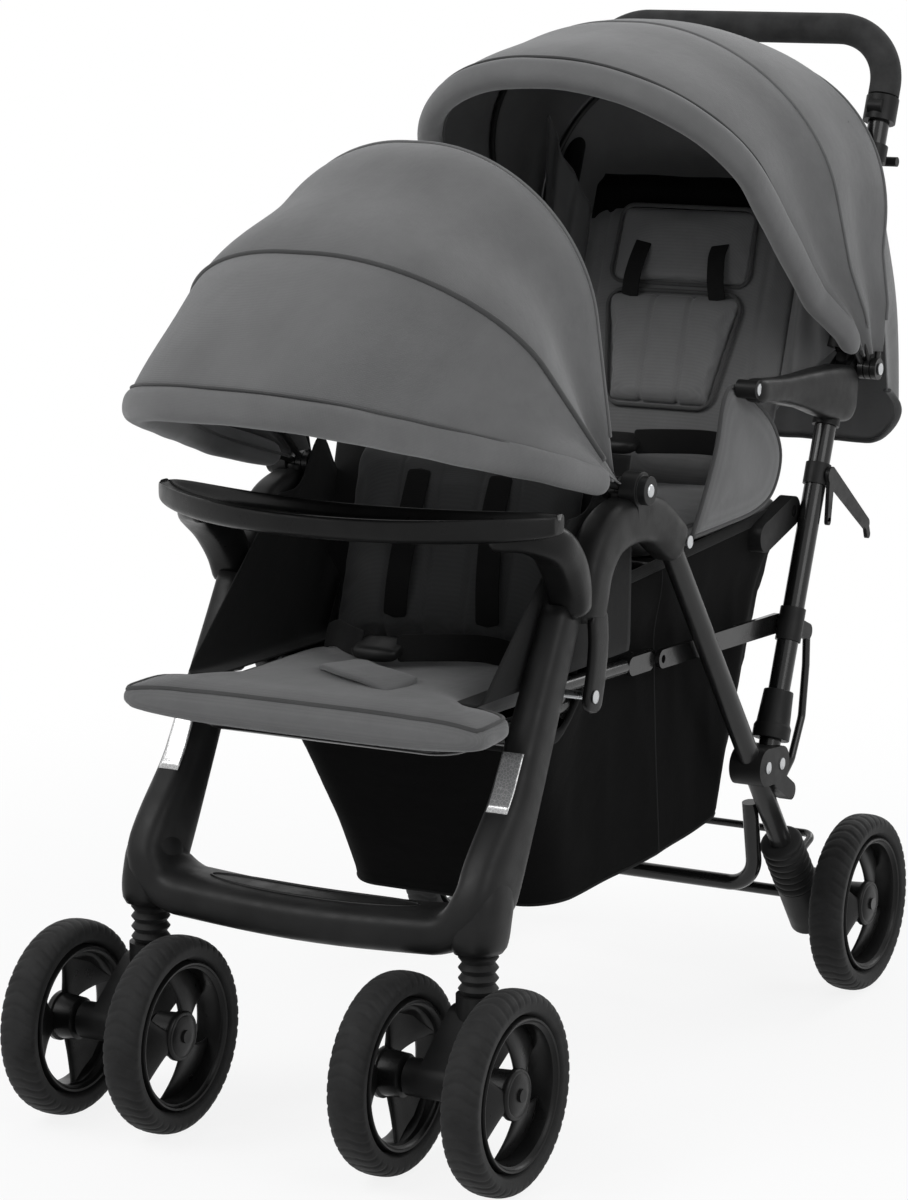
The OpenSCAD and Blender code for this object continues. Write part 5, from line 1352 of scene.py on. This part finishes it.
def harness(prefix, seat_y, seat_z, lap_up, wide, back, heights, proud, bodies, node):
    """Shoulder straps ride the backrest, lap straps and the buckle ride the seat. Both straps of a
    pair count as one sheet, as wide as the two together."""
    shoulder, lap = [], []
    for side in SIDES:
        line = back(np.linspace(*heights, 5), np.array([10, 17, 19, 18, 12]) + proud)
        pts = np.column_stack([side * np.array([44, 44, 46, 48, 50]), line])
        shoulder.append(strap("shoulder", pts, wide, WEB_THICK, (1, 0, 0), WEB))
        lap_pts = np.array([(104, 80, 10), (78, 56, 20), (44, 20, 24), (18, 2, 24)])
        lap_pts = lap_pts * [side, 1, 1] + [0, seat_y, seat_z + lap_up]
        lap.append(strap("lap", lap_pts, LAP_WIDE, WEB_THICK, (0, 0.4, 1), WEB))
    tongue = [(-34, -4, 1), (-22, -22, 9), (6, -44, 11), (40, -56, 9), (66, -60, 4)]
    tongue = np.array(tongue) + [0, seat_y, seat_z]
    tongue = strap(prefix + "_crotch_tongue", tongue, 46, 7, (0.5, 1, 0), PAD, 48, 0.06)
    soft_piece(tongue, bodies[1])
    rise = np.linspace(0, 1, 12)
    buckle = place(0, seat_y - 14 + 36 * rise, seat_z + 17 + lap_up + 9 * rise)
    face = superellipse(0.024, 0.0075, 3, 28) * rounded_ends(12, 0.25)[:, None, None]
    book(tube(prefix + "_buckle", buckle, face, BLACK, cap=False), "moulding", bodies[1])
    shoulder = trim(join(prefix + "_shoulder_straps", shoulder), bodies[0])
    lap = trim(join(prefix + "_lap_straps", lap), bodies[1])
    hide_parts(node)
    for piece, across in ((shoulder, 2 * wide / 1000), (lap, 2 * LAP_WIDE / 1000)):
        area = np.empty(len(piece.data.polygons))
        piece.data.polygons.foreach_get("area", area)


straps_front = ("front_back", "front_frame")
straps_rear = ("rear_back", "chassis")
harness("front", 118, 404, 0, 25, FRONT_BACK, (205, 62), 8, straps_front, "front_harness")
harness("rear", 588, 508, 26, 19, REAR_BACK, (268, 205), 15, straps_rear, "rear_harness")

# %% [markdown]
# ## Floor
# The floor is a pale plain sheet. To the camera and in mirrors it is nearly white and fades to
# pure white further out, and it still takes the stroller's soft shadow.

# %% Floor
FLOOR_HALF, FLOOR_Z = 6000.0, -0.5
f = Finish("pale_floor", 0.94, 0.9)
corner = np.array([-FLOOR_HALF, FLOOR_HALF])
floor_points = place(*np.meshgrid(corner, corner), FLOOR_Z)
floor = grid_piece("floor", floor_points, f.mat, weld=False)
glow = f.node("Emission", {"Color": WHITE})[0]
away = f.node("VectorMath", {0: f.co}, operation="LENGTH")["Value"]
fade = {"Value": away, "From Min": 0.6, "From Max": 1.7, "To Min": 0.86, "To Max": 1.0}
fade = f.node("MapRange", fade, interpolation_type="SMOOTHSTEP")["Result"]
shown = f.math("MULTIPLY", fade, f.seen_rays())
f.finish_with(shown, f.shader.outputs[0], glow, "Material Output")
